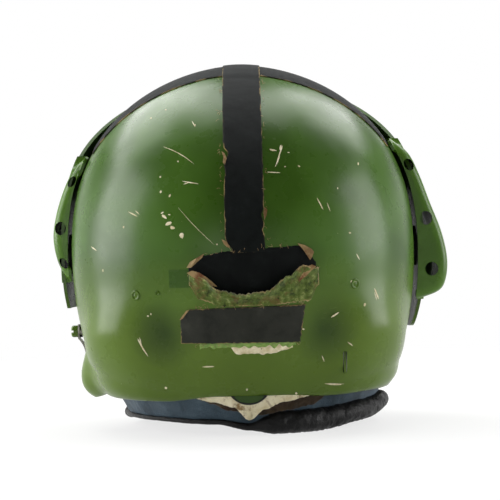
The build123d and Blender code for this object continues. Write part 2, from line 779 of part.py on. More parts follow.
# Ear cups: an oval moulded cup, its cushion, the earphone in it and a fitting pad behind it
cup_z = pivot_height - cup_centre_drop
for name, side in (("left", 1), ("right", -1)):
    cup_plane = Plane(origin=(side * cup_rim_x, cup_centre_y, cup_z), x_dir=(0, 1, 0), z_dir=(side, 0, 0))
    with BuildPart() as ear_cup:
        with BuildSketch(cup_plane):
            RectangleRounded(cup_width, cup_height, cup_corner)
        extrude(amount=cup_depth, taper=cup_taper)
        fillet(ear_cup.faces().sort_by(Axis.X)[-1 if side > 0 else 0].edges(), cup_edge)
        offset(amount=-cup_wall, openings=ear_cup.faces().sort_by(Axis.X)[0 if side > 0 else -1])
    save(ear_cup.part, "ear_cup_" + name)
    with BuildPart() as ear_seal:
        with BuildSketch(cup_plane.offset(-seat_gap)):
            RectangleRounded(cup_width + seal_edge, cup_height + seal_edge, cup_corner)
            RectangleRounded(cup_width - 2 * seal_ring, cup_height - 2 * seal_ring, cup_corner - seal_ring,
                             mode=Mode.SUBTRACT)
        extrude(amount=-seal_depth)
        fillet(ear_seal.edges().filter_by(lambda e: abs(e.center().X - e.bounding_box().min.X) < tape_gap),
               seal_edge)
    save(ear_seal.part, "ear_seal_" + name)
    with BuildPart() as earphone:
        with BuildSketch(cup_plane.offset(cup_depth - cup_wall - seat_gap)):
            Circle(earphone_radius)
        extrude(amount=-earphone_thickness)
        chamfer(earphone.faces().sort_by(Axis.X)[0 if side > 0 else -1].edges(), earphone_thickness / 4)
        with BuildSketch(cup_plane.offset(cup_depth - cup_wall - seat_gap - earphone_thickness)):
            with PolarLocations(earphone_radius / 2, 6):
                Circle(earphone_radius / 10)
            Circle(earphone_radius / 10)
        extrude(amount=earphone_thickness / 3, mode=Mode.SUBTRACT)
    save(earphone.part, "earphone_" + name)
    with BuildPart() as cup_pad:
        for y in spread(cup_centre_y - cup_pad_half_length, cup_centre_y + cup_pad_half_length, 5):
            corners = []
            for z in (cup_z - cup_pad_half_height, cup_z, cup_z + cup_pad_half_height):
                corners.append((side * half_width_at(y, z, -shell_wall - seat_gap), z))
            low_x = side * (cup_rim_x + cup_depth + seat_gap)
            with BuildSketch(Plane(origin=(0, y, 0), x_dir=(1, 0, 0), z_dir=(0, -1, 0))):
                with BuildLine():
                    Polyline((low_x, corners[0][1]), *corners, (low_x, corners[-1][1]), close=True)
                make_face()
        loft(ruled=True)
    save(cup_pad.part, "cup_pad_" + name)


# Neck skirt: a leather band inside the rim, and the padded roll sewn along its lower edge
def radial_plane(turn):
    """An upright plane through the middle of the neck, at an angle round from the rear."""
    outward = Vector(sin(turn), cos(turn), 0)
    return Plane(origin=(0, 0, 0), x_dir=outward, z_dir=outward.cross(Vector(0, 0, 1)))


def roll_value(turn, shares):
    """A value of the roll at an angle round from the rear, eased between its places."""
    for low, high, start, end in zip(roll_turns, roll_turns[1:], shares, shares[1:]):
        if low <= turn <= high:
            part = (turn - low) / (high - low)
            return start + (end - start) * part * part * (3 - 2 * part)
    return shares[-1]


def roll_section(turn):
    """Reach, height and radius of the roll at an angle, in degrees."""
    radius = roll_radius * roll_value(turn, roll_radius_shares)
    height = roll_side_rise * roll_value(turn, roll_rise_shares) + radius - flat_depth
    inset = roll_inset * roll_value(turn, roll_inset_shares)
    return hypot(*plan_point(radians(turn), rim_height, -inset, False)), height, radius


roll_places = spread(roll_turns[0], roll_turns[-1], 19)
with BuildPart() as edge_roll:
    for turn in roll_places:
        reach, height, radius = roll_section(turn)
        with BuildSketch(radial_plane(radians(turn))):
            with Locations((reach, height)):
                Circle(radius)
    loft()
    with BuildSketch(Plane.XY):
        Circle(2 * rear_reach)
    extrude(amount=-2 * roll_radius, mode=Mode.SUBTRACT)
save(edge_roll.part, "edge_roll")


def skirt_line(turn, out):
    """Corners of the skirt's outer face at an angle, pushed out, as reach and height."""
    points = [(hypot(*plan_point(radians(turn), z, -shell_wall - 2 * seat_gap, False)) + out, z)
              for z in (skirt_top, rim_height)]
    reach, height, radius = roll_section(turn)
    return points + [(reach + skirt_wall / 2 + out, height + radius + skirt_lift)]


with BuildPart() as neck_skirt:
    for turn in roll_places:
        with BuildSketch(radial_plane(radians(turn))):
            with BuildLine():
                Polyline(*skirt_line(turn, 0), *reversed(skirt_line(turn, -skirt_wall)), close=True)
            make_face()
    loft(ruled=True)
save(neck_skirt.part, "neck_skirt")

# Torn lining cloth that hangs under the rim behind, with a pointed fold
with BuildPart() as lining_cloth:
    for turn in cloth_turns:
        side_turn = cloth_turns[-1] if turn > cloth_point_turn else cloth_turns[0]
        side_share = (turn - cloth_point_turn) / (side_turn - cloth_point_turn)
        low = cloth_point_z + (cloth_side_z - cloth_point_z) * side_share ** cloth_fold_share
        corners = skirt_line(turn, seat_gap)[1:]
        lean = (corners[0][0] - corners[1][0]) / (corners[0][1] - corners[1][1])
        top = rim_height - seat_gap
        near = [(corners[0][0] + lean * (z - rim_height), z) for z in (top, low)]
        far = [(reach + cloth_thickness, z) for reach, z in near]
        with BuildSketch(radial_plane(radians(turn))):
            with BuildLine():
                Polyline(*near, *reversed(far), close=True)
            make_face()
    loft(ruled=True)
save(lining_cloth.part, "lining_cloth")

# Adhesive tapes, the torn pocket and the round rivet heads on the back
def level(value):
    return lambda x, along: value


tape_low, tape_high = level(tape_gap), level(tape_gap + tape_thickness)
over_low = level(2 * tape_gap + tape_thickness)
over_high = level(2 * tape_gap + 2 * tape_thickness)
crown_places = spread(-crown_tape_half_width, crown_tape_half_width, 21)
save(conformal_strip(crown_places, lambda x: crown_tape_low_angle, lambda x: crown_tape_high_angle,
                     tape_low, tape_high), "crown_tape")
centre_places = spread(centre_tape_x - tape_width / 2, centre_tape_x + tape_width / 2, 5)
save(conformal_strip(centre_places, lambda x: centre_tape_low_angle, lambda x: centre_tape_high_angle,
                     over_low, over_high, 15), "centre_tape")


def lower_edge(x):
    return lower_tape_low


def lower_top(x):
    return lower_tape_top - max(0, x - lower_tape_left + lower_tape_corner)


lower_strip = back_strip(lower_tape_left, lower_tape_right, lower_top, lower_edge, tape_low, tape_high, 13)
save(lower_strip, "lower_tape")


def patch_share(x):
    return (x - patch_right) / (patch_left - patch_right)


def patch_top_edge(x):
    share = patch_share(x)
    end = max(0, 1 - min(share, 1 - share) / patch_corner_share)
    return patch_top - patch_slope * share - (patch_slope + patch_slope * share) * end


def patch_low_edge(x):
    share = patch_share(x)
    return patch_low + patch_rise * (2 * share - 1) ** 2


patch = back_strip(patch_left, patch_right, patch_top_edge, patch_low_edge, tape_low, tape_high, 17)
save(patch, "pocket_patch")


def flap_top_edge(x):
    share = patch_share(x)
    return flap_top - (patch_low - flap_low) * (1 - (2 * share - 1) ** 2)


def flap_low_grow(x, along):
    return over_low(x, along) + seat_gap / 3 + (flap_stand - tape_thickness) * max(0, along) ** 2


def flap_high_grow(x, along):
    return flap_low_grow(x, along) + flap_thickness


save(back_strip(patch_left + tape_thickness, patch_right - flap_stand, flap_top_edge, lambda x: flap_low,
                flap_low_grow, flap_high_grow, 17), "pocket_flap")

with BuildPart() as back_rivets:
    for (x, drop), radius in ((left_rivet, back_rivet_radius), (right_rivet, back_rivet_radius),
                              (small_rivet, small_rivet_radius)):
        with BuildSketch(surface_plane(x, pivot_height + drop, True, tape_gap)):
            Circle(radius)
        extrude(amount=back_rivet_height, taper=rivet_taper)
save(back_rivets.part, "back_rivets")

# Rubber tongue under the middle of the rim
tongue_y = depth_at(0, rim_height, 0) - shell_wall / 2
with BuildPart() as rim_tongue:
    with BuildSketch(Plane(origin=(centre_tape_x, tongue_y - tongue_thickness / 2, rim_height - seat_gap),
                           x_dir=(1, 0, 0), z_dir=(0, 1, 0))):
        with BuildLine():
            ThreePointArc((-tongue_width / 2, 0), (0, tongue_drop), (tongue_width / 2, 0))
            Line((tongue_width / 2, 0), (-tongue_width / 2, 0))
        make_face()
    extrude(amount=tongue_thickness)
save(rim_tongue.part, "rim_tongue")

# Mask hook: a bowed spring strip under a screw, on a spacer, on the wearer's left
hook_z = pivot_height - hook_drop
hook_x = half_width_at(hook_y, hook_z, 0) + hook_stand
hook_low_z = hook_z - hook_length
hook_middle_z = (hook_z - hook_flat + hook_low_z) / 2
hook_middle_x = half_width_at(hook_y, hook_middle_z, 0) + hook_stand
hook_bend = ((hook_x, hook_z - hook_flat), (hook_middle_x, hook_middle_z),
             (hook_middle_x + hook_bow, hook_low_z))
with BuildPart() as mask_hook:
    with BuildSketch(Plane(origin=(0, hook_y, 0), x_dir=(1, 0, 0), z_dir=(0, -1, 0))):
        with BuildLine():
            near = ThreePointArc(*hook_bend)
            far = ThreePointArc(*[(x + hook_thickness, z) for x, z in hook_bend])
            Polyline(near @ 0, (hook_x, hook_z + hook_flat),
                     (hook_x + hook_thickness, hook_z + hook_flat), far @ 0)
            Line(near @ 1, far @ 1)
        make_face()
    extrude(amount=hook_width / 2, both=True)
save(mask_hook.part, "mask_hook")

hook_plane = Plane(origin=(hook_x + hook_thickness, hook_y, hook_z), x_dir=(0, 1, 0), z_dir=(1, 0, 0))
with BuildPart() as hook_screw:
    with BuildSketch(hook_plane):
        Circle(hook_screw_radius)
    extrude(amount=hook_screw_height)
    fillet(hook_screw.edges().sort_by(Axis.X)[-1], hook_screw_height / 3)
    with BuildSketch(hook_plane.offset(hook_screw_height)):
        Rectangle(2 * hook_screw_radius, pin_slot_width)
    extrude(amount=-hook_screw_height / 3, mode=Mode.SUBTRACT)
save(hook_screw.part, "hook_screw")
with BuildPart() as hook_spacer:
    with BuildSketch(hook_plane.offset(-hook_thickness)):
        Circle(hook_screw_radius)
    extrude(amount=half_width_at(hook_y, hook_z + hook_screw_radius, 0) + tape_gap - hook_x)
save(hook_spacer.part, "hook_spacer")

# Anchor plate with two screws, for the mask's strap on the other cheek
anchor_z = pivot_height - anchor_drop
anchor_plane = surface_plane(-half_width_at(anchor_y, anchor_z, 0), anchor_z, False, seat_gap)
with BuildPart() as mask_anchor:
    with BuildSketch(anchor_plane):
        SlotOverall(anchor_length, anchor_width)
    extrude(amount=anchor_thickness)
    chamfer(mask_anchor.faces().sort_by(Axis.X)[0].edges(), anchor_thickness / 4)
save(mask_anchor.part, "mask_anchor")
with BuildPart() as anchor_screws:
    with BuildSketch(anchor_plane.offset(anchor_thickness)):
        with GridLocations(anchor_screw_spacing, 0, 2, 1):
            Circle(anchor_screw_radius)
    extrude(amount=anchor_screw_height, taper=rivet_taper)
save(anchor_screws.part, "anchor_screws")

# Chin strap: two webbing halves on one arc, joined by a slide buckle, with a pad under the chin
strap_front_y = strap_y - strap_width / 2
strap_top_x = (half_width_at(strap_front_y, strap_anchor_height - strap_width / 2, -shell_wall - seat_gap)
               - strap_block_thickness - seat_gap)
strap_rise = strap_anchor_height - strap_low
strap_arc_radius = (strap_top_x ** 2 + strap_rise ** 2) / (2 * strap_rise)


def strap_height(x):
    return strap_low + strap_arc_radius - sqrt(strap_arc_radius ** 2 - x ** 2)


strap_plane = Plane(origin=(0, strap_y, 0), x_dir=(1, 0, 0), z_dir=(0, -1, 0))
for name, start, end in (("chin_strap_right", -strap_top_x, strap_buckle_x - strap_end_gap),
                         ("chin_strap_left", strap_buckle_x + strap_end_gap, strap_top_x)):
    with BuildPart() as chin_strap:
        with BuildSketch(strap_plane):
            with BuildLine():
                places = [(x, strap_height(x)) for x in (start, (start + end) / 2, end)]
                low = ThreePointArc(*places)
                high = ThreePointArc(*[(x, z + strap_thickness) for x, z in places])
                Line(low @ 0, high @ 0)
                Line(low @ 1, high @ 1)
            make_face()
        extrude(amount=strap_width / 2, both=True)
    save(chin_strap.part, name)

buckle_slope = strap_buckle_x / sqrt(strap_arc_radius ** 2 - strap_buckle_x ** 2)
buckle_along = Vector(1, 0, buckle_slope).normalized()
buckle_centre = Vector(strap_buckle_x, strap_y, strap_height(strap_buckle_x) + strap_thickness / 2)
with BuildPart() as strap_buckle:
    with BuildSketch(Plane(origin=buckle_centre - buckle_along * (buckle_length / 2), x_dir=(0, 1, 0),
                           z_dir=buckle_along)):
        RectangleRounded(strap_width + 2 * buckle_bar, buckle_height, buckle_height / 3)
        Rectangle(strap_width + 2 * seat_gap, strap_thickness + 4 * seat_gap, mode=Mode.SUBTRACT)
    extrude(amount=buckle_length)
    buckle_face = Plane(origin=buckle_centre, x_dir=buckle_along, z_dir=buckle_along.cross(Vector(0, 1, 0)))
    with BuildSketch(buckle_face):
        with GridLocations(buckle_length / 2, 0, 2, 1):
            RectangleRounded(buckle_length / 4, strap_width - buckle_bar, buckle_length / 12)
    extrude(amount=buckle_height, both=True, mode=Mode.SUBTRACT)
save(strap_buckle.part, "strap_buckle")

with BuildPart() as chin_pad:
    for share in chin_pad_length_shares:
        x = chin_pad_x + share * chin_pad_half_length
        swell = swell_share(share * chin_pad_end_share)
        low = strap_height(x) + strap_thickness + seat_gap
        half = strap_width / 2 + chin_pad_over * swell
        side_z = low + chin_pad_thickness * swell / 3
        with BuildSketch(Plane.YZ.offset(x)):
            with BuildLine():
                Spline((strap_y - half, side_z), (strap_y, low + chin_pad_thickness * swell),
                       (strap_y + half, side_z), tangents=((0, 1), (0, -1)))
                Polyline((strap_y + half, side_z), (strap_y + strap_width / 2, low),
                         (strap_y - strap_width / 2, low), (strap_y - half, side_z))
            make_face()
    loft()
save(chin_pad.part, "chin_pad")

# Blocks inside the shell that the strap's ends are fixed to
for name, side in (("left", 1), ("right", -1)):
    inner_x = side * (strap_top_x + seat_gap)
    heights = spread(strap_anchor_height - strap_width / 2, strap_anchor_height + strap_width / 2, 3)
    with BuildPart() as strap_anchor:
        for y in spread(strap_front_y, strap_front_y + strap_width, 3):
            outer = [(side * half_width_at(y, z, -shell_wall - seat_gap), z) for z in heights]
            with BuildSketch(Plane(origin=(0, y, 0), x_dir=(1, 0, 0), z_dir=(0, -1, 0))):
                with BuildLine():
                    Polyline((inner_x, heights[0]), *outer, (inner_x, heights[-1]), close=True)
                make_face()
        loft(ruled=True)
    save(strap_anchor.part, "strap_anchor_" + name)
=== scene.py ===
# Looks of the pilot flight helmet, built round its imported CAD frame. Lengths are in millimetres
# until a mesh is made, and mm turns them into metres.
import json
from functools import partial
from math import acos, asin, atan2, cos, exp, hypot, pi, radians, sin, sqrt
from random import Random

import bmesh
import bpy
from mathutils import Euler, Matrix, Vector, noise


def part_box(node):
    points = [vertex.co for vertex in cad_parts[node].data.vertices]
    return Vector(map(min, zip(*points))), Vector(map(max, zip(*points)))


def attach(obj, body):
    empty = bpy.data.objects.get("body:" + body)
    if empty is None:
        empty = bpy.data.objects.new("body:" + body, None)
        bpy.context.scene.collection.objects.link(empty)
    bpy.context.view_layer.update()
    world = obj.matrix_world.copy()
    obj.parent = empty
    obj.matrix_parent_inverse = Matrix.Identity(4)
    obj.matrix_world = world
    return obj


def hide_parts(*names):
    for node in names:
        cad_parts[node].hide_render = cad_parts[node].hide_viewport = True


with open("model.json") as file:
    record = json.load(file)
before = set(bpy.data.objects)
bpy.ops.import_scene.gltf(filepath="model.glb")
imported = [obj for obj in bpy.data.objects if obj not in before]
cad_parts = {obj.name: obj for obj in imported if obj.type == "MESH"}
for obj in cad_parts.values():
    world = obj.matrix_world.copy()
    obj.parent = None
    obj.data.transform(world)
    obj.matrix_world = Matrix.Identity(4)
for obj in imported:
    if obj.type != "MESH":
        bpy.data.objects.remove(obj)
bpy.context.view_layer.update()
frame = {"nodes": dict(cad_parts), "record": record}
nodes = frame["nodes"]
mm = 0.001

# The form of the shell, as in the CAD: a rounded shape about the visor's axis
form = {"pivot": 122.0, "half": 120.0, "crown": 129.3, "rear": 138.0, "low": 152.0, "rim": 27.0,
        "wall": 3.0, "sideShare": 1.85, "crownShare": 2.45}
bulge = {"proud": 13.0, "out": 80.0, "y": 80.0, "z": 50.0, "width": 34.0, "depth": 52.0, "height": 37.0}
opening = {"lowY": -69.0, "highY": -57.0, "highZ": 104.0, "brow": 150.0, "corner": 38.0}
inside = Vector((0.0, 0.0, form["pivot"]))


def depths(y, z, grow):
    # reaches of the form towards one side of its axis, backwards or forwards and up or down
    deep = (form["crown"] if y < 0 else form["rear"]) + grow
    tall = (form["crown"] if z > form["pivot"] else form["low"]) + grow
    return deep, tall


def halfWidth(y, z, grow=0.0):
    deep, tall = depths(y, z, grow)
    share = min(1.0, hypot(y / deep, (z - form["pivot"]) / tall))
    return (form["half"] + grow) * (1 - share ** form["crownShare"]) ** (1 / form["sideShare"])


def bulgeAt(x, y, z):
    # how far the form swells behind and below each ear
    across = (abs(x) - bulge["out"]) / bulge["width"]
    back, down = (y - bulge["y"]) / bulge["depth"], (z - bulge["z"]) / bulge["height"]
    return bulge["proud"] * exp(-hypot(across, back, down) ** 3)


def planReach(turn, z, grow=0.0, bulged=True):
    # distance from the upright middle line to the form, at an angle round from the rear
    low, high = 0.0, 2 * form["rear"]
    for _ in range(30):
        middle = (low + high) / 2
        x, y = middle * sin(turn), middle * cos(turn)
        low, high = (middle, high) if abs(x) < halfWidth(y, z, grow) else (low, middle)
    return low + (bulgeAt(low * sin(turn), low * cos(turn), z) if bulged else 0)


def roundPoint(reach, turn, z):
    # a point at a distance from the upright middle line and an angle round from the rear
    return Vector((reach * sin(turn), reach * cos(turn), z))


def formPoint(turn, z, grow=0.0, bulged=True):
    return roundPoint(planReach(turn, z, grow, bulged), turn, z)


def rearPoint(x, z):
    # the point of the swollen form behind the axis that lies at one place across and up
    flat, tall = x, form["crown"] if z > form["pivot"] else form["low"]
    for _ in range(7):
        share = (1 - min(1.0, abs(flat) / form["half"]) ** form["sideShare"]) ** (1 / form["crownShare"])
        y = form["rear"] * sqrt(max(0.0, share ** 2 - ((z - form["pivot"]) / tall) ** 2))
        swell = 1 + bulgeAt(flat, y, z) / max(1.0, hypot(flat, y))
        flat = x / swell
    return Vector((x, y * swell, z))


def rearNormal(turn, z, step=0.02):
    here = formPoint(turn, z)
    beside, above = formPoint(turn + step, z), formPoint(turn, z + 100 * step)
    return (above - here).cross(beside - here).normalized()


def lifted(point, height):
    # a point of the form moved straight out from its middle
    return point + (point - inside).normalized() * height


def spread(low, high, count):
    return [low + (high - low) * step / (count - 1) for step in range(count)]


def gridRows(pointAt, places, count, most=1.0):
    # rows of points from a rule: each row runs through the places, and the shares up go from 0 to most
    return [[pointAt(place, share) for place in places] for share in spread(0.0, most, count)]


def ease(share):
    share = max(0.0, min(1.0, share))
    return share * share * (3 - 2 * share)


def alongShares(stops, share):
    # a value eased between (share, value) stops
    for (low, start), (high, end) in zip(stops, stops[1:]):
        if share <= high:
            return start + (end - start) * ease((share - low) / (high - low))
    return stops[-1][1]


def wobble(a, b, c):
    # smooth unevenness between -1 and 1
    return noise.noise(Vector((a, b, c)))


def ragged(place, size, seed, depth):
    # a small unevenness of a torn or cut edge
    return wobble(place / size, seed, 0.0) * depth


def hump(place, middle, width):
    # 1 at the middle, falling smoothly to 0 beside it
    return exp(-((place - middle) / width) ** 2)


def linked(name, content):
    # an object of the scene from a mesh, a light or a camera
    made = bpy.data.objects.new(name, content)
    bpy.context.scene.collection.objects.link(made)
    return made


def objectFrom(name, shape):
    # an object from a bmesh in metres, which is freed
    bmesh.ops.recalc_face_normals(shape, faces=shape.faces)
    mesh = bpy.data.meshes.new(name)
    shape.to_mesh(mesh)
    shape.free()
    return linked(name, mesh)


def smoothed(piece, sharp=None):
    # smooth shading, but for edges whose faces meet at more than so many degrees
    piece.data.shade_smooth()
    if sharp:
        piece.data.set_sharp_from_angle(angle=radians(sharp))


def pieceFrom(name, shape, slot, *replaced, body="helmet", look=None, sharp=None):
    # turns a bmesh in millimetres into an object that rides on a body, in its slot's material or another
    for vertex in shape.verts:
        vertex.co *= mm
    piece = objectFrom(name, shape)
    smoothed(piece, sharp)
    piece.data.materials.append(materials[look or slot])
    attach(piece, body)
    if replaced:
        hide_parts(*replaced)
    return piece


def gridShape(rows, closedRound=False):
    # a grid moved onto rows of points, its two sides joined where it closes round
    shape = bmesh.new()
    bmesh.ops.create_grid(shape, x_segments=len(rows[0]) - 1 + closedRound, y_segments=len(rows) - 1, size=1)
    for vertex, point in zip(shape.verts, [point for row in rows for point in row + row[:1] * closedRound]):
        vertex.co = point
    if closedRound:
        bmesh.ops.remove_doubles(shape, verts=shape.verts, dist=0.0001)
    return shape


# Materials: each is a node tree on object coordinates
def shade(text):
    # a linear colour from an sRGB one, written as six hexadecimal digits
    parts = [int(text[n:n + 2], 16) / 255 for n in (0, 2, 4)]
    return [c / 12.92 if c <= 0.04045 else ((c + 0.055) / 1.055) ** 2.4 for c in parts] + [1.0]


def addNode(tree, kind, inputs=(), output=0, stops=(), **settings):
    # adds a node and gives one of its outputs; inputs are values or other nodes' outputs, in the order
    # of the sockets or by name, and stops are a ramp's positions and colours. A colour Mix takes its
    # share at 0 and its colours at 6 and 7, and gives its result at 2.
    made = tree.nodes.new("ShaderNode" + kind)
    for name, value in settings.items():
        setattr(made, name, value)
    for name, value in inputs.items() if isinstance(inputs, dict) else enumerate(inputs):
        if isinstance(value, bpy.types.NodeSocket):
            tree.links.new(value, made.inputs[name])
        else:
            made.inputs[name].default_value = value
    if stops:
        made.color_ramp.interpolation = "EASE"
        points = made.color_ramp.elements
        while len(points) < len(stops):
            points.new(0.5)
        for point, (position, color) in zip(points, stops):
            point.position, point.color = position, shade(color)
    return made.outputs[output]


def newMaterial(name, **constants):
    # a material, what adds nodes to it, its shader, and coordinates in millimetres
    material = bpy.data.materials.new(name)
    material.use_nodes = True
    add = partial(addNode, material.node_tree)
    shader = material.node_tree.nodes["Principled BSDF"]
    for label, value in constants.items():
        shader.inputs[label.replace("_", " ")].default_value = value
    place = add("VectorMath", (add("TexCoord", output="Object"), (1000, 1000, 1000)), operation="MULTIPLY")
    return material, add, shader, place


def feed(shader, **outputs):
    # links outputs to the shader's inputs
    for label, output in outputs.items():
        shader.id_data.links.new(output, shader.inputs[label.replace("_", " ")])


def paintMaterial(name, mid, dark, low):
    # satin enamel on a moulded shell: a lighter, yellower lower part that is painted reflected light from the
    # floor, hairline scratches, dull smears and small chips
    material, add, shader, place = newMaterial(name, Roughness=0.3, IOR=1.46, Specular_IOR_Level=0.22)
    broad = add("TexNoise", {"Vector": place, "Scale": 1 / 55, "Detail": 2})
    base = add("ValToRGB", (broad,), stops=((0.35, dark), (0.65, mid)))
    sides, height = (add("SeparateXYZ", (place,), way) for way in ("X", "Z"))
    wander = add("TexNoise", {"Vector": place, "Scale": 1 / 40, "Detail": 2})
    wavy = add("Math", (height, add("Math", (wander, 30), operation="MULTIPLY")), operation="ADD")
    # the lower part is mixed towards the low colour: painted reflected light from the floor
    layers = [(add("MapRange", (wavy, 85, 135, 0.85, 0)), low)]
    # an older, darker square beside the pocket, and painted shade in the hollow inside each swelling
    edges = []
    for value, middle, start, end, most in ((sides, 40, 7.2, 7.6, 1), (height, 104.5, 5.6, 6.2, 0.75)):
        away = add("Math", (add("Math", (value, middle), operation="SUBTRACT"),), operation="ABSOLUTE")
        edges.append(add("MapRange", (away, start, end, most, 0)))
    layers.append((add("Math", edges, operation="MULTIPLY"), "24420A"))
    # painted shade: darker green round the hollow inside each swelling
    for side in (-1, 1):
        away = add("VectorMath", (place, (side * 51, 112, 70)), "Value", operation="DISTANCE")
        layers.append((add("MapRange", (away, 4, 25, 0.78, 0)), "1C3404"))
    # hairlines 0.5 mm apart, where the paint has been rubbed, and chips about a millimetre wide
    stretched = add("VectorMath", (place, (0.1, 0.1, 1.2)), operation="MULTIPLY")
    lines = add("TexNoise", {"Vector": stretched, "Scale": 1 / 0.5, "Detail": 1})
    rubbed = add("TexNoise", {"Vector": place, "Scale": 1 / 30, "Detail": 2})
    scratched = add("Math", (add("MapRange", (lines, 0.7, 0.74)), add("MapRange", (rubbed, 0.5, 0.62))),
                    operation="MULTIPLY")
    layers.append((add("Math", (scratched, 0.3), operation="MULTIPLY"), "6F8444"))
    spots = add("TexNoise", {"Vector": place, "Scale": 1 / 1.3, "Detail": 3, "Roughness": 0.6})
    where = add("TexNoise", {"Vector": place, "Scale": 1 / 24, "Detail": 1})
    chipped = add("Math", (add("MapRange", (spots, 0.755, 0.765)), add("MapRange", (where, 0.54, 0.58))),
                  operation="MULTIPLY")
    layers.append((chipped, "D6CEB2"))
    for share, tint in layers:
        base = add("Mix", {0: share, 6: base, 7: shade(tint)}, 2, data_type="RGBA")
    smear = add("TexNoise", {"Vector": place, "Scale": 1 / 20, "Detail": 4, "Roughness": 0.6})
    rough = add("Math", (add("MapRange", (smear, 0.3, 0.8, 0.24, 0.36)),
                         add("Math", (chipped, 0.4), operation="MULTIPLY")), operation="ADD")
    swelling = add("TexNoise", {"Vector": place, "Scale": 1 / 16, "Detail": 2})
    wave = add("Bump", {"Height": swelling, "Distance": 0.04 * mm, "Strength": 1})
    whole = add("Math", (1, chipped), operation="SUBTRACT")
    normal = add("Bump", {"Height": whole, "Distance": 0.05 * mm, "Strength": 1, "Normal": wave})
    feed(shader, Base_Color=base, Roughness=rough, Normal=normal)
    return material


def leatherMaterial(name, mid, dark, light, grain, roughness):
    # leather: cell grain, creases, and worn lighter places
    material, add, shader, place = newMaterial(name, Roughness=roughness, Specular_IOR_Level=0.16)
    shift = add("TexNoise", {"Vector": place, "Scale": 0.3}, "Color")
    warped = add("VectorMath", (place, shift), operation="ADD")
    cells = add("TexVoronoi", {"Vector": warped, "Scale": 1 / grain}, "Distance", feature="DISTANCE_TO_EDGE")
    grainUp = add("MapRange", (cells, 0, 0.22))
    broad = add("TexNoise", {"Vector": place, "Scale": 1 / 22, "Detail": 4, "Roughness": 0.6})
    base = add("ValToRGB", (broad,), stops=((0.3, dark), (0.55, mid), (0.8, light)))
    between = add("Math", (add("Math", (1, grainUp), operation="SUBTRACT"), 0.45), operation="MULTIPLY")
    color = add("Mix", {0: between, 6: base, 7: shade(dark)}, 2, data_type="RGBA")
    rough = add("MapRange", (broad, 0.3, 0.8, roughness + 0.1, roughness - 0.12))
    folds = add("TexNoise", {"Vector": place, "Scale": 1 / 6, "Detail": 5, "Roughness": 0.62,
                             "Distortion": 0.8})
    creases = add("Bump", {"Height": folds, "Distance": 0.7 * mm, "Strength": 1})
    normal = add("Bump", {"Height": grainUp, "Distance": 0.12 * mm, "Strength": 1, "Normal": creases})
    feed(shader, Base_Color=color, Roughness=rough, Normal=normal)
    return material


def clothMaterial(name, mid, dark, light, thread, roughness=0.85, stain=None, sheen=0.2, fray=None,
                  frayWidth=1.0, patch=14):
    # woven cloth: crossed threads, uneven colour and, if asked for, stains and bare threads at the border
    material, add, shader, place = newMaterial(name, Roughness=roughness, Sheen_Weight=sheen,
                                               Sheen_Roughness=0.5, Specular_IOR_Level=0.06)
    waves = [add("TexWave", {"Vector": place, "Scale": 0.5 / thread, "Distortion": 1.2, "Detail": 2,
                             "Detail Scale": 0.8}, "Fac", bands_direction=way) for way in ("X", "Z")]
    weave = add("Math", waves, operation="MAXIMUM")
    broad = add("TexNoise", {"Vector": place, "Scale": 1 / patch, "Detail": 5, "Roughness": 0.65})
    base = add("ValToRGB", (broad,), stops=((0.3, dark), (0.52, mid), (0.78, light)))
    tint = add("Mix", {0: add("MapRange", (weave, 0.2, 0.9, 0.3, 0)), 6: base, 7: shade(dark)}, 2,
               data_type="RGBA")
    if stain:
        spots = add("TexNoise", {"Vector": place, "Scale": 1 / 11, "Detail": 4, "Roughness": 0.7,
                                 "Distortion": 1})
        tint = add("Mix", {0: add("MapRange", (spots, 0.52, 0.68)), 6: tint, 7: shade(stain)}, 2,
                   data_type="RGBA")
    if fray:
        edge = add("Attribute", output="Fac", attribute_name="edge")
        threads = add("TexNoise", {"Vector": place, "Scale": 1 / 1.6, "Detail": 3, "Roughness": 0.6})
        uneven = add("Math", (threads, 2.4), operation="MULTIPLY")
        inward = add("Math", (edge, frayWidth), operation="DIVIDE")
        bare = add("MapRange", (add("Math", (uneven, inward), operation="SUBTRACT"), 0.3, 1))
        places = add("TexNoise", {"Vector": place, "Scale": 1 / 9, "Detail": 2})
        bare = add("Math", (bare, add("MapRange", (places, 0.46, 0.62, 0.05, 1))), operation="MULTIPLY")
        tint = add("Mix", {0: bare, 6: tint, 7: shade(fray)}, 2, data_type="RGBA")
    creases = add("TexNoise", {"Vector": place, "Scale": 1 / 8, "Detail": 3})
    folds = add("Bump", {"Height": creases, "Distance": 0.5 * mm, "Strength": 1})
    normal = add("Bump", {"Height": weave, "Distance": 0.09 * mm, "Strength": 1, "Normal": folds})
    feed(shader, Base_Color=tint, Normal=normal)
    return material


def plainMaterial(name, mid, dark, roughness, metallic=0.0, size=5.0, depth=0.05, specular=0.5):
    # rubber, moulded plastic, foam or metal: uneven colour and roughness, with a fine bump
    material, add, shader, place = newMaterial(name, Metallic=metallic, Specular_IOR_Level=specular)
    blotch = add("TexNoise", {"Vector": place, "Scale": 1 / size, "Detail": 5, "Roughness": 0.65})
    base = add("ValToRGB", (blotch,), stops=((0.3, dark), (0.7, mid)))
    rough = add("MapRange", (blotch, 0.3, 0.7, roughness + 0.1, max(0.05, roughness - 0.08)))
    fine = add("TexNoise", {"Vector": place, "Scale": 8 / size, "Detail": 3})
    normal = add("Bump", {"Height": fine, "Distance": depth * mm, "Strength": 1})
    feed(shader, Base_Color=base, Roughness=rough, Normal=normal)
    return material


def lensMaterial():
    # tinted polycarbonate lens with fine wiping marks
    material, add, shader, place = newMaterial("tintedPolycarbonate", Transmission_Weight=1.0, IOR=1.5,
                                               Specular_IOR_Level=0.35, Base_Color=shade("5A5F52"))
    marks = add("TexNoise", {"Vector": place, "Scale": 1 / 14, "Detail": 3})
    feed(shader, Roughness=add("MapRange", (marks, 0.4, 0.8, 0.02, 0.05)))
    return material


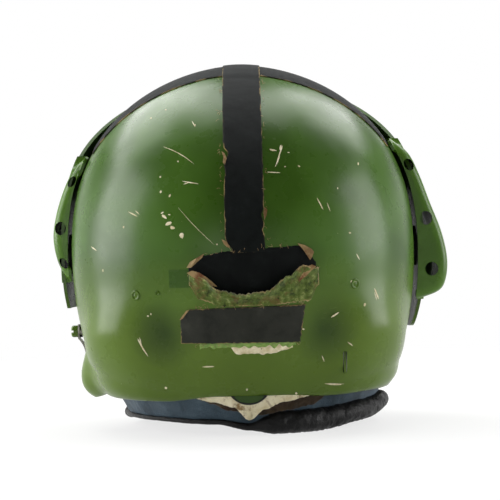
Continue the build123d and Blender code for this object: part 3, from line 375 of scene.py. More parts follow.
def tongueMaterial():
    # the shell's enamel on a rubber tongue, with its curved edge rubbed black
    material, add, shader, place = newMaterial("tongueEnamel", Roughness=0.45, Specular_IOR_Level=0.2)
    uneven = add("TexNoise", {"Vector": place, "Scale": 1 / 2, "Detail": 3})
    rim = add("Math", (uneven, 0.2), operation="MULTIPLY")
    for way, middle, reach in (("X", -2.0, 12.0), ("Z", 26.7, 6.0)):
        away = add("Math", (add("SeparateXYZ", (place,), way), middle), operation="SUBTRACT")
        share = add("Math", (add("Math", (away, reach), operation="DIVIDE"),), operation="ABSOLUTE")
        square = add("Math", (share, 2), operation="POWER")
        rim = add("Math", (rim, square), operation="ADD")
    color = add("Mix", {0: add("MapRange", (rim, 0.66, 0.74)), 6: shade("2E4812"), 7: shade("0C0E0B")}, 2,
                data_type="RGBA")
    normal = add("Bump", {"Height": uneven, "Distance": 0.05 * mm, "Strength": 1})
    feed(shader, Base_Color=color, Normal=normal)
    return material


materials = {
    # Enamel paint over the moulded shell, its cover and the pods
    "shell_paint": paintMaterial("shellEnamel", "3B5A1A", "2F4B10", "52681E"),
    "cover_paint": paintMaterial("coverEnamel", "40601D", "345016", "4C6420"),
    "pod_paint": paintMaterial("podEnamel", "4A6C24", "3C5A18", "4E7026"),
    "lens": lensMaterial(),
    # Black moulded rubber of the beading, the trim and the grommet
    "black_rubber": plainMaterial("blackRubber", "1C1C1C", "101010", 0.6, size=9, depth=0.06, specular=0.25),
    # Aluminium of the arms and the mask's plate, coloured near-black as painted shade in the dark gaps round
    # them
    "arm_metal": plainMaterial("shadeDarkAluminium", "121312", "0B0C0B", 0.55, size=7, depth=0.02,
                               specular=0.12),
    # Brushed, slightly tarnished steel of the fasteners
    "steel": plainMaterial("tarnishedSteel", "7E7C76", "55534D", 0.4, 1.0, 5, 0.03),
    # Rigid bead foam of the liner
    "liner_foam": plainMaterial("beadFoam", "2E2E2C", "222220", 0.9, size=7, depth=0.1),
    # Soft leather of the pads, seals and chin pad
    "pad_leather": leatherMaterial("padLeather", "2A2826", "1B1A18", "3A3835", 1.0, 0.5),
    # Matte moulded plastic of the ear cups and earphones
    "dark_plastic": plainMaterial("mouldedPlastic", "262826", "1A1C1A", 0.55, size=12, depth=0.04),
    # Glossy black leather of the neck roll
    "black_leather": leatherMaterial("rollLeather", "141414", "0A0A0A", "282828", 1.3, 0.36),
    # Blue-grey leather of the neck skirt
    "grey_leather": leatherMaterial("skirtLeather", "43535F", "2B3740", "607280", 1.2, 0.48),
    # Unbleached cotton lining with brown stains
    "cream_cloth": clothMaterial("cottonLining", "F2E9CB", "DACBA2", "F8F0DC", 0.8, stain="94784E"),
    # The same cotton painted dark brown as shade under the lining, with darker stains
    "stained_and_shaded_cloth": clothMaterial("stainedShadedCotton", "3E3122", "1E1812", "6A563A", 0.8, stain="2A1C12"),
    # Black adhesive cloth tape
    "black_tape": clothMaterial("clothTape", "121615", "0B0E0D", "1C2020", 0.5, 0.6, sheen=0.0, fray="8C7A50",
                                frayWidth=0.7),
    # The same tape, painted lighter grey low on the back as the sheen it catches
    "sheen_painted_tape": clothMaterial("sheenPaintedTape", "30312C", "262723", "3C3D37", 0.5, 0.6, sheen=0.0, fray="8C7A50",
                                frayWidth=0.7),
    # An older, brighter coat of green that shows where the paint has torn
    "older_paint": plainMaterial("olderEnamel", "7E9A44", "567828", 0.45, size=3, depth=0.05),
    # Black proofed cloth of the pocket
    "black_cloth": clothMaterial("proofedCloth", "0E1110", "080A0A", "161A19", 0.6, 0.65, sheen=0.0),
    # Olive cotton of the torn flap
    "olive_cloth": clothMaterial("oliveCotton", "4E5E26", "1E2610", "98A060", 0.9, stain="5E4A28",
                                 fray="9A845A", frayWidth=1.3, patch=3.5),
    # Cream primer and bare, dusty laminate where the paint is gone
    "primer": plainMaterial("chippedPrimer", "E2D8BC", "BCAE86", 0.6, size=4.5, depth=0.04),
    # Tan cotton backing that shows where the tape has torn
    "torn_backing": clothMaterial("cottonBacking", "9C845A", "6E5434", "C0AC80", 0.4, stain="6A3C24"),
    # Drab nylon webbing of the chin strap
    "webbing": clothMaterial("nylonWebbing", "2A3020", "1C2015", "3A402C", 1.2, 0.7),
}
for record in frame["record"]["subparts"]:
    piece = nodes[record["node"]]
    piece.data.materials.clear()
    piece.data.materials.append(materials[record["material_slot"]])
    smoothed(piece, 35)
nodes["rim_tongue"].data.materials[0] = tongueMaterial()
print("frame and materials")

# Camera's scale: the real size of one pixel of the 500-pixel photograph, at a depth
photo = {"middleX": 243.0, "middleY": 250.0, "pixel": 0.71, "camera": 1300.0}


def photoPlace(px, py):
    # the place across and up of a pixel on the back of the shell
    x, z = 0.0, form["pivot"]
    for _ in range(4):
        pixel = photo["pixel"] * (1 - rearPoint(x, z).y / photo["camera"])
        x, z = (photo["middleX"] - px) * pixel, form["pivot"] + (photo["middleY"] - py) * pixel
    return x, z


def turnedReach(x, angle, grow=0.0):
    # distance of the form from the visor's axis, at a place across and an angle up from the rear
    side = (abs(x) / (form["half"] + grow)) ** form["sideShare"]
    share = max(0.0, 1 - side) ** (1 / form["crownShare"])
    deep, tall = depths(-1 if cos(angle) < 0 else 1, form["pivot"] + sin(angle), grow)
    return share / hypot(cos(angle) / deep, sin(angle) / tall)


def turnedPoint(x, angle, grow=0.0):
    reach = turnedReach(x, angle, grow)
    return Vector((x, reach * cos(angle), form["pivot"] + reach * sin(angle)))


def sheetShape(rows, low, high, aim, inset=0.25):
    # thin closed cloth over a grid: low and high give its faces' heights above the grid, and the
    # vertex attribute edge holds each point's distance from the border, in millimetres
    shape = gridShape(rows)
    shape.normal_update()
    edge, number = shape.verts.layers.float.new("edge"), shape.verts.layers.int.new("number")
    height, width = len(rows) - 1, len(rows[0]) - 1
    below = shape.verts[:]
    normals = [vertex.normal * (1 if vertex.normal.dot(vertex.co - aim) > 0 else -1) for vertex in below]
    for n, vertex in enumerate(below):
        i, j = divmod(n, width + 1)
        ends = rows[0][j], rows[-1][j], rows[i][0], rows[i][-1]
        vertex[number], vertex[edge] = n, min((rows[i][j] - end).length for end in ends)
    made = bmesh.ops.extrude_face_region(shape, geom=shape.faces[:], use_keep_orig=True)["geom"]
    above = [part for part in made if isinstance(part, bmesh.types.BMVert)]
    for vertices, lift, pull in ((below, low, 0.0), (above, high, inset)):
        for vertex in vertices:
            i, j = divmod(vertex[number], width + 1)
            normal = normals[vertex[number]]
            vertex.co = rows[i][j] + normal * lift(i / height, j / width)
            if pull and (i in (0, height) or j in (0, width)):
                inner = rows[min(max(i, 1), height - 1)][min(max(j, 1), width - 1)]
                vertex.co += (inner - rows[i][j]).normalized() * pull - normal * pull * 0.6
    shape.verts.layers.int.remove(number)
    return shape


def applied(piece, *cutters, folded=False):
    # the piece's mesh with the cutters taken from it
    for cutter in cutters:
        cut = piece.modifiers.new("cut", "BOOLEAN")
        cut.operation, cut.object, cut.solver, cut.use_self = "DIFFERENCE", cutter, "EXACT", folded
    bpy.context.view_layer.update()
    made = bpy.data.meshes.new_from_object(piece.evaluated_get(bpy.context.evaluated_depsgraph_get()))
    piece.modifiers.clear()
    piece.data = made
    for cutter in cutters:
        bpy.data.objects.remove(cutter)


def prismCutter(outline, direction, start, end):
    # a prism from an outline given in the plane across X or Y, as an object in metres
    shape = bmesh.new()
    sideways = direction == "X"
    corners = [shape.verts.new(Vector((start, a, b) if sideways else (a, start, b)) * mm) for a, b in outline]
    face = shape.faces.new(corners)
    made = bmesh.ops.extrude_face_region(shape, geom=[face], use_keep_orig=True)["geom"]
    moved = [part for part in made if isinstance(part, bmesh.types.BMVert)]
    reach = Vector((end - start, 0, 0) if sideways else (0, end - start, 0)) * mm
    bmesh.ops.translate(shape, vec=reach, verts=moved)
    return objectFrom("cutter", shape)


def slotOutline(a, b, length, width):
    # a slot with round ends, standing upright
    half, radius = length / 2 - width / 2, width / 2
    return [(a + radius * cos(turn), b + (half if sin(turn) >= 0 else -half) + radius * sin(turn))
            for turn in spread(0.0, 2 * pi, 17)[:-1]]


# Moulded shell: outer and inner walls in one closed mesh, with the lead boss blended in
boss = {"turn": atan2(96.8, 26.0), "z": 35.0, "proud": 12.5, "radius": 24.0}
shellSizes = {"columns": 220, "rows": 130, "innerRows": 44, "tip": 0.6, "rimRound": 1.0,
              "flare": 0.34, "flareMost": 3.2, "dip": 3.2, "dipHeight": 16.0,
              "hollow": 2.7, "hollowX": 50.0, "hollowZ": 70.0, "hollowWide": 12.0, "hollowTall": 16.0}
# The height where the rim's flare begins, and the share of the dip, at degrees round from the rear
flareTop = ((0, 22.0), (19, 24.5), (29, 29.0), (38, 34.0), (50, 38.5), (68, 44.0), (90, 48.0), (180, 48.0))
rimDips = ((-180, 0.0), (-50, 0.0), (-30, 0.6), (-12, 0.0), (10, 0.0), (30, 1.0), (52, 0.7), (66, 0.0),
           (180, 0.0))
bossRoot = formPoint(boss["turn"], boss["z"])
bossAim = rearNormal(boss["turn"], boss["z"])


def shellPoint(turn, z):
    # a point of the painted face, with the boss, the flange round the rim and the hollow inside each bulge
    point = formPoint(turn, z)
    if point.y > 0:
        beside = (abs(point.x) - shellSizes["hollowX"]) / shellSizes["hollowWide"]
        above = (z - shellSizes["hollowZ"]) / shellSizes["hollowTall"]
        point -= (point - inside).normalized() * shellSizes["hollow"] * exp(-beside ** 2 - above ** 2)
    near = min(1.0, (point - bossRoot).length / boss["radius"])
    degrees = abs((turn * 180 / pi + 180) % 360 - 180)
    line = alongShares(flareTop, degrees)
    flare = min(shellSizes["flareMost"], shellSizes["flare"] * max(0.0, line - z)) * (1 - ease(3 - 3 * near))
    return (point + roundPoint(1.0, turn, 0.0) * flare
            + bossAim * boss["proud"] * (1 - near * near) ** 1.4)


def shellRows(grow, count, pointAt):
    # rings of the form from the rim to the crown, evenly spaced along the meridian
    top = form["crown"] + grow
    lowTurn = -asin((form["pivot"] - form["rim"]) / (form["low"] + grow))
    rings = []
    for lift in spread(lowTurn, acos(shellSizes["tip"] / top), count):
        z = form["pivot"] + (top if lift > 0 else form["low"] + grow) * sin(lift)
        fade = max(0.0, 1 - (z - form["rim"]) / shellSizes["dipHeight"]) ** 2
        ring = []
        for n in range(shellSizes["columns"]):
            turn = 2 * pi * n / shellSizes["columns"]
            dip = fade * alongShares(rimDips, (turn * 180 / pi + 180) % 360 - 180)
            ring.append(pointAt(turn, z - shellSizes["dip"] * dip))
        rings.append(ring)
    return rings


outerRows = shellRows(0.0, shellSizes["rows"], shellPoint)
innerRows = shellRows(-form["wall"], shellSizes["innerRows"],
                      lambda turn, z: formPoint(turn, z, -form["wall"]))
lowered = [point - Vector((0, 0, shellSizes["rimRound"] * 0.6)) + (inner - point) * 0.25
           for point, inner in zip(outerRows[0], innerRows[0])]
shellShape = gridShape(list(reversed(innerRows)) + [lowered] + outerRows, closedRound=True)
bmesh.ops.holes_fill(shellShape, edges=[e for e in shellShape.edges if e.is_boundary])
shell = pieceFrom("mouldedShell", shellShape, "shell_paint", "outer_shell")
corner = opening["corner"]
arc = [(opening["highY"] + corner * (cos(turn) - 1), opening["brow"] + corner * (sin(turn) - 1))
       for turn in spread(0, pi / 2, 14)]
face = [(-300.0, -20.0), (opening["lowY"], -20.0), (opening["lowY"], form["rim"]),
        (opening["highY"], opening["highZ"])] + arc + [(-300.0, opening["brow"])]
slots = {"length": 15.0, "width": 2.6, "rearX": -65.0, "rearZ": 47.0, "sideY": 34.0, "sideZ": 59.0,
         "plugDepth": 0.8, "plugBack": 3.0}
slotCuts = [prismCutter(slotOutline(a, b, slots["length"], slots["width"]), direction, start, end)
            for a, b, direction, start, end in ((slots["rearX"], slots["rearZ"], "Y", 40.0, 200.0),
                                                (slots["sideY"], slots["sideZ"], "X", -200.0, -60.0))]
applied(shell, prismCutter(face, "X", -300.0, 300.0), *slotCuts)
smoothed(shell, 40)
# a filler in the rear slot, its face below the paint's
slotY = rearPoint(slots["rearX"], slots["rearZ"]).y
plugOutline = slotOutline(slots["rearX"], slots["rearZ"], slots["length"] + 0.3, slots["width"] - 1.0)
slotPlug = prismCutter(plugOutline, "Y", slotY - slots["plugBack"], slotY - slots["plugDepth"])
slotPlug.name = "slotPlug"
slotPlug.data.materials.append(materials["shell_paint"])
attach(slotPlug, "helmet")
print("shell", len(shell.data.polygons))

# Adhesive tapes: thin cloth that follows the form, with cut edges that have begun to fray
tape = {"gap": 0.15, "thick": 0.7, "columns": 26, "rows": 150, "fray": 0.5,
        "middleX": -2.0, "width": 25.4, "lowAngle": -1.0, "highAngle": 96.0,
        "footCut": 4.5, "footTop": 129.0, "footTall": 8.0, "overAngle": 61.0, "overSpan": 4.0}
# Places torn out of the middle tape's left and right edges: depth, height and half height
notches = {1: ((3.2, 184, 3.0), (1.0, 172, 5.0)), -1: ((2.0, 144, 3.0), (1.2, 134, 2.5))}


def level(value):
    return lambda up, across: value


def centreEdge(side, angle):
    # the middle tape's side edge at an angle: ragged and notched, with its foot cut aslant on the left
    edge = tape["middleX"] + side * tape["width"] / 2 + ragged(angle * 80, 2.4, 3.0 + side, tape["fray"])
    z = form["pivot"] + turnedReach(0, angle) * sin(angle)
    edge -= side * sum(depth * hump(z, middle, width) for depth, middle, width in notches[side])
    return edge - tape["footCut"] * ease((tape["footTop"] - z) / tape["footTall"]) * (side > 0)


def tapeLift(angle):
    # height of the middle tape above the form: it lies on the shell, then on the crown tape
    over = ease((angle * 180 / pi - tape["overAngle"]) / tape["overSpan"])
    return tape["gap"] + (tape["thick"] + tape["gap"]) * over


centreRows = []
for angle in spread(radians(tape["lowAngle"]), radians(tape["highAngle"]), tape["rows"]):
    right, left = centreEdge(-1, angle), centreEdge(1, angle)
    centreRows.append([turnedPoint(x, angle, tapeLift(angle)) for x in spread(right, left, tape["columns"])])
centreShape = sheetShape(centreRows, level(0.0), level(tape["thick"]), inside)
centreTape = pieceFrom("centreTape", centreShape, "black_tape", "centre_tape", sharp=50)

crownSizes = {"half": 102.0, "lowAngle": 65.0, "highAngle": 87.0, "columns": 190, "rows": 26}


def crownPoint(x, share):
    low = radians(crownSizes["lowAngle"]) + ragged(x, 2.2, 5.0, 0.006)
    high = radians(crownSizes["highAngle"]) + ragged(x, 3.0, 6.0, 0.004)
    return turnedPoint(x, low + (high - low) * share, tape["gap"])


crownRows = gridRows(crownPoint, spread(-crownSizes["half"], crownSizes["half"], crownSizes["columns"]),
                     crownSizes["rows"])
crownShape = sheetShape(crownRows, level(0.0), level(tape["thick"]), inside)
crownTape = pieceFrom("crownTape", crownShape, "black_tape", "crown_tape", sharp=50)


def rearRows(count, columns, low, high, left, right):
    # points on the back of the shell between edges: low and high give heights at a share across,
    # and left and right give places across at a share up
    return gridRows(lambda across, up: rearPoint(right(up) + (left(up) - right(up)) * across,
                                                 low(across) + (high(across) - low(across)) * up),
                    spread(0.0, 1.0, columns), count)


# Lower tape, with one corner cut off, in the tape painted lighter grey as sheen
lowerSizes = {"left": 40.9, "topLeft": 33.9, "right": -35.8, "topRight": -39.6, "top": 86.0, "low": 61.8}


def lowerLeft(up):
    # the left edge, with its upper corner cut off
    cut = (lowerSizes["topLeft"] - lowerSizes["left"]) * max(0.0, up * 4 - 3)
    return lowerSizes["left"] + cut + ragged(up, 0.08, 13.0, 0.6)


def lowerRight(up):
    lean = (lowerSizes["topRight"] - lowerSizes["right"]) * up
    return lowerSizes["right"] + lean + ragged(up, 0.08, 14.0, 1.0)


lowerRows = rearRows(24, 70,
                     lambda across: lowerSizes["low"] + 0.7 * across + ragged(across, 0.03, 11.0, 0.5),
                     lambda across: lowerSizes["top"] - 1.2 * across + ragged(across, 0.03, 12.0, 0.5),
                     lowerLeft, lowerRight)
lowerShape = sheetShape(lowerRows, level(tape["gap"]), level(tape["gap"] + tape["thick"]), inside)
lowerTape = pieceFrom("lowerTape", lowerShape, "black_tape", "lower_tape", look="sheen_painted_tape", sharp=50)


# Torn pocket: its black back, and the olive flap that bulges out with a curled upper edge
pocketSizes = {"left": 34.5, "right": -47.0, "flapLeft": 34.0, "flapRight": -48.0, "stand": 5.5, "gap": 1.1,
               "thick": 1.2}
pocketTop = ((0.0, 113.0), (0.04, 117.0), (0.13, 123.8), (0.3, 123.0), (0.7, 121.2), (0.88, 119.0),
             (1.0, 113.0))
pocketLow = ((0.0, 107.0), (0.3, 96.0), (0.55, 94.0), (0.7, 94.5), (1.0, 105.0))
pocketRows = rearRows(22, 80, lambda across: alongShares(pocketLow, across) - 4.0,
                      lambda across: alongShares(pocketTop, across) + ragged(across, 0.025, 21.0, 0.7),
                      lambda up: pocketSizes["left"], lambda up: pocketSizes["right"])
pocketShape = sheetShape(pocketRows, level(tape["gap"]), level(tape["gap"] + 0.6), inside)
pocket = pieceFrom("pocketBack", pocketShape, "black_cloth", "pocket_patch", sharp=50)

flapTop = ((0.0, 109.5), (0.14, 111.5), (0.24, 105.5), (0.42, 96.5), (0.6, 95.0), (0.76, 97.5), (0.9, 106.0),
            (1.0, 108.0))
flapLow = ((0.0, 99.0), (0.08, 88.5), (0.4, 86.4), (0.75, 86.4), (0.92, 91.0), (1.0, 100.0))


def flapLift(up, across):
    # how far the flap stands off the shell: it is stitched at its foot and ends, and curls at its top
    belly = pocketSizes["stand"] * up ** 1.6 * sin(pi * across) ** 0.6
    folds = 0.6 * wobble(across * 9, up * 3, 4.0) + 0.2 * wobble(across * 30, up * 9, 8.0)
    return pocketSizes["gap"] + belly + folds * (0.3 + up) * 1.1


flapRows = rearRows(40, 120, lambda across: alongShares(flapLow, across) + ragged(across, 0.02, 31.0, 0.9),
                    lambda across: alongShares(flapTop, across) + ragged(across, 0.02, 32.0, 1.1),
                    lambda up: pocketSizes["flapLeft"], lambda up: pocketSizes["flapRight"])
flapShape = sheetShape(flapRows, flapLift, lambda up, across: flapLift(up, across) + pocketSizes["thick"],
                       inside)
flap = pieceFrom("pocketFlap", flapShape, "olive_cloth", "pocket_flap", sharp=60)
print("tapes and pocket")

# Chips and scratches through the paint, each laid on the shell, and the bare band under the lower tape
chipSizes = {"lift": 0.05, "seed": 7}
chipShape = bmesh.new()


def addPatch(px, py, wide, tall, tilt, corners=7):
    # a small chip with a ragged outline, at a pixel, with its size in millimetres
    x, z = photoPlace(px, py)
    ring = bmesh.ops.create_circle(chipShape, cap_ends=True, segments=corners, radius=1)["verts"]
    for n, vertex in enumerate(ring):
        out = 1 + 0.45 * wobble(px * 0.7 + n, py * 0.9, chipSizes["seed"])
        a, b = wide / 2 * out * vertex.co.x, tall / 2 * out * vertex.co.y
        point = rearPoint(x + a * cos(tilt) - b * sin(tilt), z + a * sin(tilt) + b * cos(tilt))
        vertex.co = lifted(point, chipSizes["lift"])


def addScratch(startX, startY, endX, endY, width, bend=0.0):
    # a scratch between two pixels, tapering to its ends
    steps = max(3, int(hypot(endX - startX, endY - startY) / 3) + 2)
    ribbon = bmesh.ops.create_grid(chipShape, x_segments=1, y_segments=steps - 1, size=1)["verts"]
    across = Vector((endY - startY, 0.0, -(endX - startX))).normalized()
    for n, vertex in enumerate(ribbon):
        share, side = n // 2 / (steps - 1), n % 2 * 2 - 1
        px = startX + (endX - startX) * share - bend * sin(pi * share) * (endY - startY)
        py = startY + (endY - startY) * share + bend * sin(pi * share) * (endX - startX)
        x, z = photoPlace(px, py)
        half = width / 2 * (0.25 + sin(pi * share) ** 0.6) * (1 + 0.5 * wobble(px, py, 2.0))
        point = rearPoint(x + across.x * side * half, z + across.z * side * half)
        vertex.co = lifted(point, chipSizes["lift"])


scratches = [(167, 145, 197, 163, 0.35, -0.05), (185, 180, 201, 183, 0.5, 0.0),
             (186, 183, 193, 181, 0.35, 0.0), (136, 336, 146, 354, 0.7, 0.02),
             (138, 335, 140, 344, 0.5, 0.0), (330, 320, 338, 315, 0.9, 0.0),
             (374, 292, 378, 303, 0.7, 0.0), (376, 304, 374, 296, 0.4, 0.0),
             (319, 200, 325, 212, 0.5, 0.0), (329, 205, 332, 214, 0.35, 0.0),
             (278, 168, 283, 153, 0.7, 0.05), (281, 160, 286, 147, 0.5, 0.0),
             (273, 150, 280, 152, 0.6, 0.0), (270, 173, 283, 174, 0.6, 0.0), (92, 243, 97, 247, 0.6, 0.0),
             (130, 209, 139, 214, 0.6, 0.0), (137, 208, 141, 212, 0.5, 0.0),
             (200, 366, 212, 366, 0.7, 0.0), (322, 386, 343, 387, 0.9, 0.02),
             (320, 358, 322, 364, 0.5, 0.0), (357, 257, 360, 263, 0.5, 0.0),
             (180, 206, 215, 244, 0.2, 0.02), (196, 120, 199, 126, 0.5, 0.0),
             (346, 345, 351, 349, 0.6, 0.0)]
for scratch in scratches:
    addScratch(*scratch)
patches = [(166, 215, 3.5, 1.6, 0.6), (170, 222, 5.0, 2.2, -0.4), (174, 226, 3.0, 2.2, 0.3),
           (183, 234, 3.2, 3.6, 0.2), (164, 211, 2.2, 0.9, -0.5), (171, 213, 1.6, 0.8, 0.1),
           (163, 190, 1.2, 1.8, 0.3), (172, 194, 1.2, 2.0, 0.5), (163, 175, 1.0, 1.6, 0.0),
           (155, 116, 1.0, 1.0, 0.0), (170, 108, 1.2, 0.8, 0.0), (181, 160, 1.0, 1.2, 0.0),
           (199, 124, 0.7, 1.6, 0.0), (275, 151, 3.0, 1.0, 0.3), (284, 149, 1.4, 3.6, 0.2),
           (292, 154, 1.4, 0.7, 0.0), (288, 168, 1.0, 1.0, 0.0), (302, 168, 1.6, 0.8, 0.5),
           (340, 191, 0.8, 1.2, 0.0), (351, 236, 1.6, 1.2, 0.4), (354, 284, 5.2, 2.0, -0.2),
           (361, 167, 1.0, 2.0, 0.0), (103, 267, 0.8, 2.0, 0.0), (125, 224, 1.0, 1.8, 0.4),
           (147, 314, 1.2, 1.2, 0.0), (163, 386, 1.6, 1.6, 0.0), (244, 390, 1.4, 1.4, 0.0),
           (293, 395, 1.4, 1.4, 0.0), (364, 308, 1.6, 2.2, 0.3), (302, 331, 1.4, 1.0, 0.0),
           (150, 312, 0.8, 1.4, 0.0), (218, 244, 1.0, 1.0, 0.0)]
for patch in patches:
    addPatch(*patch)
chips = pieceFrom("paintChips", chipShape, "shell_paint", look="primer")


def thicken(piece, thickness):
    # gives flat flakes a thickness downwards, so that each is a closed solid
    flakes = piece.modifiers.new("flake", "SOLIDIFY")
    flakes.thickness, flakes.offset = thickness * mm, 0
    applied(piece)
    piece.data.set_sharp_from_angle(angle=radians(30))


thicken(chips, 0.12)

bare = {"left": 226.0, "right": 291.0, "top": 345.0, "columns": 60, "depth": 9.5}


def lowBand(name, look, left, right, above, depthAt, lift):
    # a band below the lower tape, from pixels above the tape's edge down to an uneven depth
    lines = []
    for px in spread(left, right, bare["columns"]):
        places = photoPlace(px, bare["top"] - above), photoPlace(px, bare["top"] + depthAt(px))
        lines.append([rearPoint(*place) for place in places])
    shape = sheetShape(lines, level(-0.2), level(lift), inside, 0.05)
    pieceFrom(name, shape, "shell_paint", look=look)


def bareDepth(px):
    share = (px - bare["left"]) / (bare["right"] - bare["left"])
    depth = bare["depth"] * ease(share * 7) * (1 - 0.5 * ease(share * 3 - 2))
    return max(0.5, depth * (1 + 0.25 * wobble(px / 6, 3.0, 1.0)))


lowBand("bareBand", "primer", bare["left"], bare["right"], 0, bareDepth, 0.07)
lowBand("tornPaint", "older_paint", bare["left"] - 28, bare["right"] + 3, 3,
        lambda px: 2.6 + 4.0 * wobble(px / 5, 6.0, 1.0), 0.1)

# Torn backing at the corners of the tapes and the pocket, and loose threads along their edges
tornSizes = {"lift": 1.25, "flapLift": 3.2, "flapTop": 265, "flapFoot": 290, "seed": 5, "threads": 190,
             "width": 0.16, "reach": 2.6}
tornPlaces = (
    ((189, 266), (191, 261), (198, 257), (205, 253), (203, 257), (197, 262), (193, 266)),
    ((298, 245), (305, 247), (312, 251), (314, 254), (312, 259), (310, 262), (307, 257), (303, 251)),
    ((223, 239), (227, 241), (230, 245), (231, 248), (228, 247), (225, 244)),
    ((189, 271), (194, 269), (201, 271), (207, 275), (213, 280), (218, 285), (211, 284), (203, 279),
     (194, 275)),
    ((300, 274), (305, 268), (310, 266), (314, 268), (309, 272), (304, 277), (297, 282)),
    ((225, 152), (228, 154), (230, 159), (228, 165), (226, 163), (227, 158)),
    ((266, 208), (269, 211), (268, 217), (266, 221), (265, 214)),
    ((179, 318), (186, 309), (189, 308), (182, 317)))
tornShape = bmesh.new()
for outline in tornPlaces:
    corners = []
    for px, py in outline:
        point = rearPoint(*photoPlace(px, py))
        height = tornSizes["lift"] + 0.5 * wobble(px, py, tornSizes["seed"])
        if tornSizes["flapTop"] < py < tornSizes["flapFoot"]:
            height += tornSizes["flapLift"]
        corners.append(tornShape.verts.new(lifted(point, height)))
    bmesh.ops.triangulate(tornShape, faces=[tornShape.faces.new(corners)])
bmesh.ops.subdivide_edges(tornShape, edges=tornShape.edges, cuts=2, use_grid_fill=True)
tornBits = pieceFrom("tornBacking", tornShape, "black_tape", look="torn_backing", sharp=60)
thicken(tornBits, 0.3)

chance = Random(tornSizes["seed"])
edgeRuns = (((224, 76), (222, 248)), ((267, 76), (268, 247)), ((203, 254), (300, 245)),
            ((189, 272), (205, 301)), ((205, 303), (303, 302)), ((316, 270), (307, 300)),
            ((182, 344), (299, 344)), ((190, 307), (304, 304)))
threadShape = bmesh.new()
for _ in range(tornSizes["threads"]):
    (startX, startY), (endX, endY) = chance.choice(edgeRuns)
    share, angle = chance.random(), chance.uniform(0, 2 * pi)
    x, z = photoPlace(startX + (endX - startX) * share, startY + (endY - startY) * share)
    reach, lift = chance.uniform(0.4, 1.0) * tornSizes["reach"], chance.uniform(0.9, 1.4)
    ribbon = bmesh.ops.create_grid(threadShape, x_segments=1, y_segments=4, size=1)["verts"]
    bend = chance.uniform(-0.8, 0.8)
    for n, vertex in enumerate(ribbon):
        along, side = n // 2 / 4, n % 2 * 2 - 1
        turn = angle + bend * along
        a = x + reach * along * cos(turn) - side * tornSizes["width"] / 2 * sin(turn)
        b = z + reach * along * sin(turn) + side * tornSizes["width"] / 2 * cos(turn)
        point = rearPoint(a, b)
        vertex.co = lifted(point, lift + 0.5 * sin(pi * along))
threads = pieceFrom("looseThreads", threadShape, "black_tape", look="torn_backing")
thicken(threads, 0.14)
print("torn edges")

# Rivets on the back: a low ring round a dimple
rivetSizes = {"big": 3.6, "small": 1.5, "sides": 28}
rivetShape = bmesh.new()
profile = ((0.0, 0.25), (0.35, 0.2), (0.45, 0.05), (0.62, 0.5), (0.8, 0.62), (0.94, 0.4), (1.0, -0.2))
for px, py, radius in ((135, 293, rivetSizes["big"]), (355, 287, rivetSizes["big"]),
                       (157, 291, rivetSizes["small"])):
    x, z = photoPlace(px, py)
    root = rearPoint(x, z)
    out = rearNormal(atan2(x, root.y), z)
    side = out.cross(Vector((0, 0, 1))).normalized()
    line = [rivetShape.verts.new(root + out * lift + side * radius * share) for share, lift in profile]
    edges = [rivetShape.edges.new(pair) for pair in zip(line, line[1:])]
    bmesh.ops.spin(rivetShape, geom=line + edges, cent=root, axis=out, angle=2 * pi,
                   steps=rivetSizes["sides"], use_merge=True)
bmesh.ops.remove_doubles(rivetShape, verts=rivetShape.verts, dist=0.001)
pieceFrom("backRivets", rivetShape, "pod_paint", "back_rivets", look="shell_paint", sharp=50)
print("chips and rivets")

# Padded roll round the neck opening: black leather, thick and wrinkled behind on the right
rollSizes = {"radius": 8.5, "rise": 9.0, "inset": 12.0, "flat": 0.5, "sections": 420, "sides": 36,
             "start": -122, "end": 122, "taper": 3.0}
# Degrees round from the rear, and the shares of the radius, the rise and the inset there
rollStops = ((-122, 0.75, 0, 0.9), (-104, 0.75, 0.5, 0.55), (-82, 0.76, 1.0, 0.25), (-55, 0.88, 0.5, 0.45),
             (-28, 1.0, 0, 0.8), (-12, 0.95, 0, 0.85), (-1, 0.32, 0.35, 0.9), (12, 0.24, 0.8, 0.95),
             (45, 0.2, 0.95, 1.0), (75, 0.22, 0.95, 1.0), (100, 0.6, 0.5, 1.0), (122, 0.75, 0, 1.0))


def rollSection(turn):
    # reach, height and radius of the roll at an angle in degrees round from the rear
    thick, rise, inset = (alongShares([(stop[0], stop[n]) for stop in rollStops], turn) for n in (1, 2, 3))
    radius = rollSizes["radius"] * thick
    height = rollSizes["rise"] * rise + radius - rollSizes["flat"]
    return planReach(radians(turn), form["rim"], -rollSizes["inset"] * inset, False), height, radius


rollRows = []
for turn in spread(rollSizes["start"], rollSizes["end"], rollSizes["sections"]):
    reach, height, radius = rollSection(turn)
    away = roundPoint(1.0, radians(turn), 0.0)
    ends = min(1.0, min(turn - rollSizes["start"], rollSizes["end"] - turn) / rollSizes["taper"]) ** 0.5
    row = []
    for n in range(rollSizes["sides"]):
        around = 2 * pi * n / rollSizes["sides"]
        seed = Vector((turn * 0.55, 2.2 * cos(around), 2.2 * sin(around)))
        twist = wobble(turn * 0.22 + around * 0.8, 7.0, 0.0)
        pinch = 1 - 0.16 * abs(wobble(*seed)) - 0.14 * max(0.0, twist) - 0.06 * abs(wobble(*(seed * 3.1)))
        out = radius * pinch * ends
        up = height + out * sin(around)
        row.append(away * (reach + out * cos(around)) + Vector((0, 0, max(0.0, up))))
    rollRows.append(row)
rollShape = gridShape(rollRows, closedRound=True)
bmesh.ops.holes_fill(rollShape, edges=[e for e in rollShape.edges if e.is_boundary])
roll = pieceFrom("neckRoll", rollShape, "black_leather", "edge_roll")

# Neck skirt: a creased leather band from inside the rim down to the roll
skirtSizes = {"top": 40.0, "thick": 1.6, "columns": 420, "rows": 16, "gap": 0.6, "over": 0.4, "seat": 1.3,
              "rimShare": 0.65, "back": 0.9}


def rimReach(turn, z):
    # reach just inside the shell's wall, at an angle in degrees
    return planReach(radians(turn), z, -form["wall"] - skirtSizes["gap"], False)


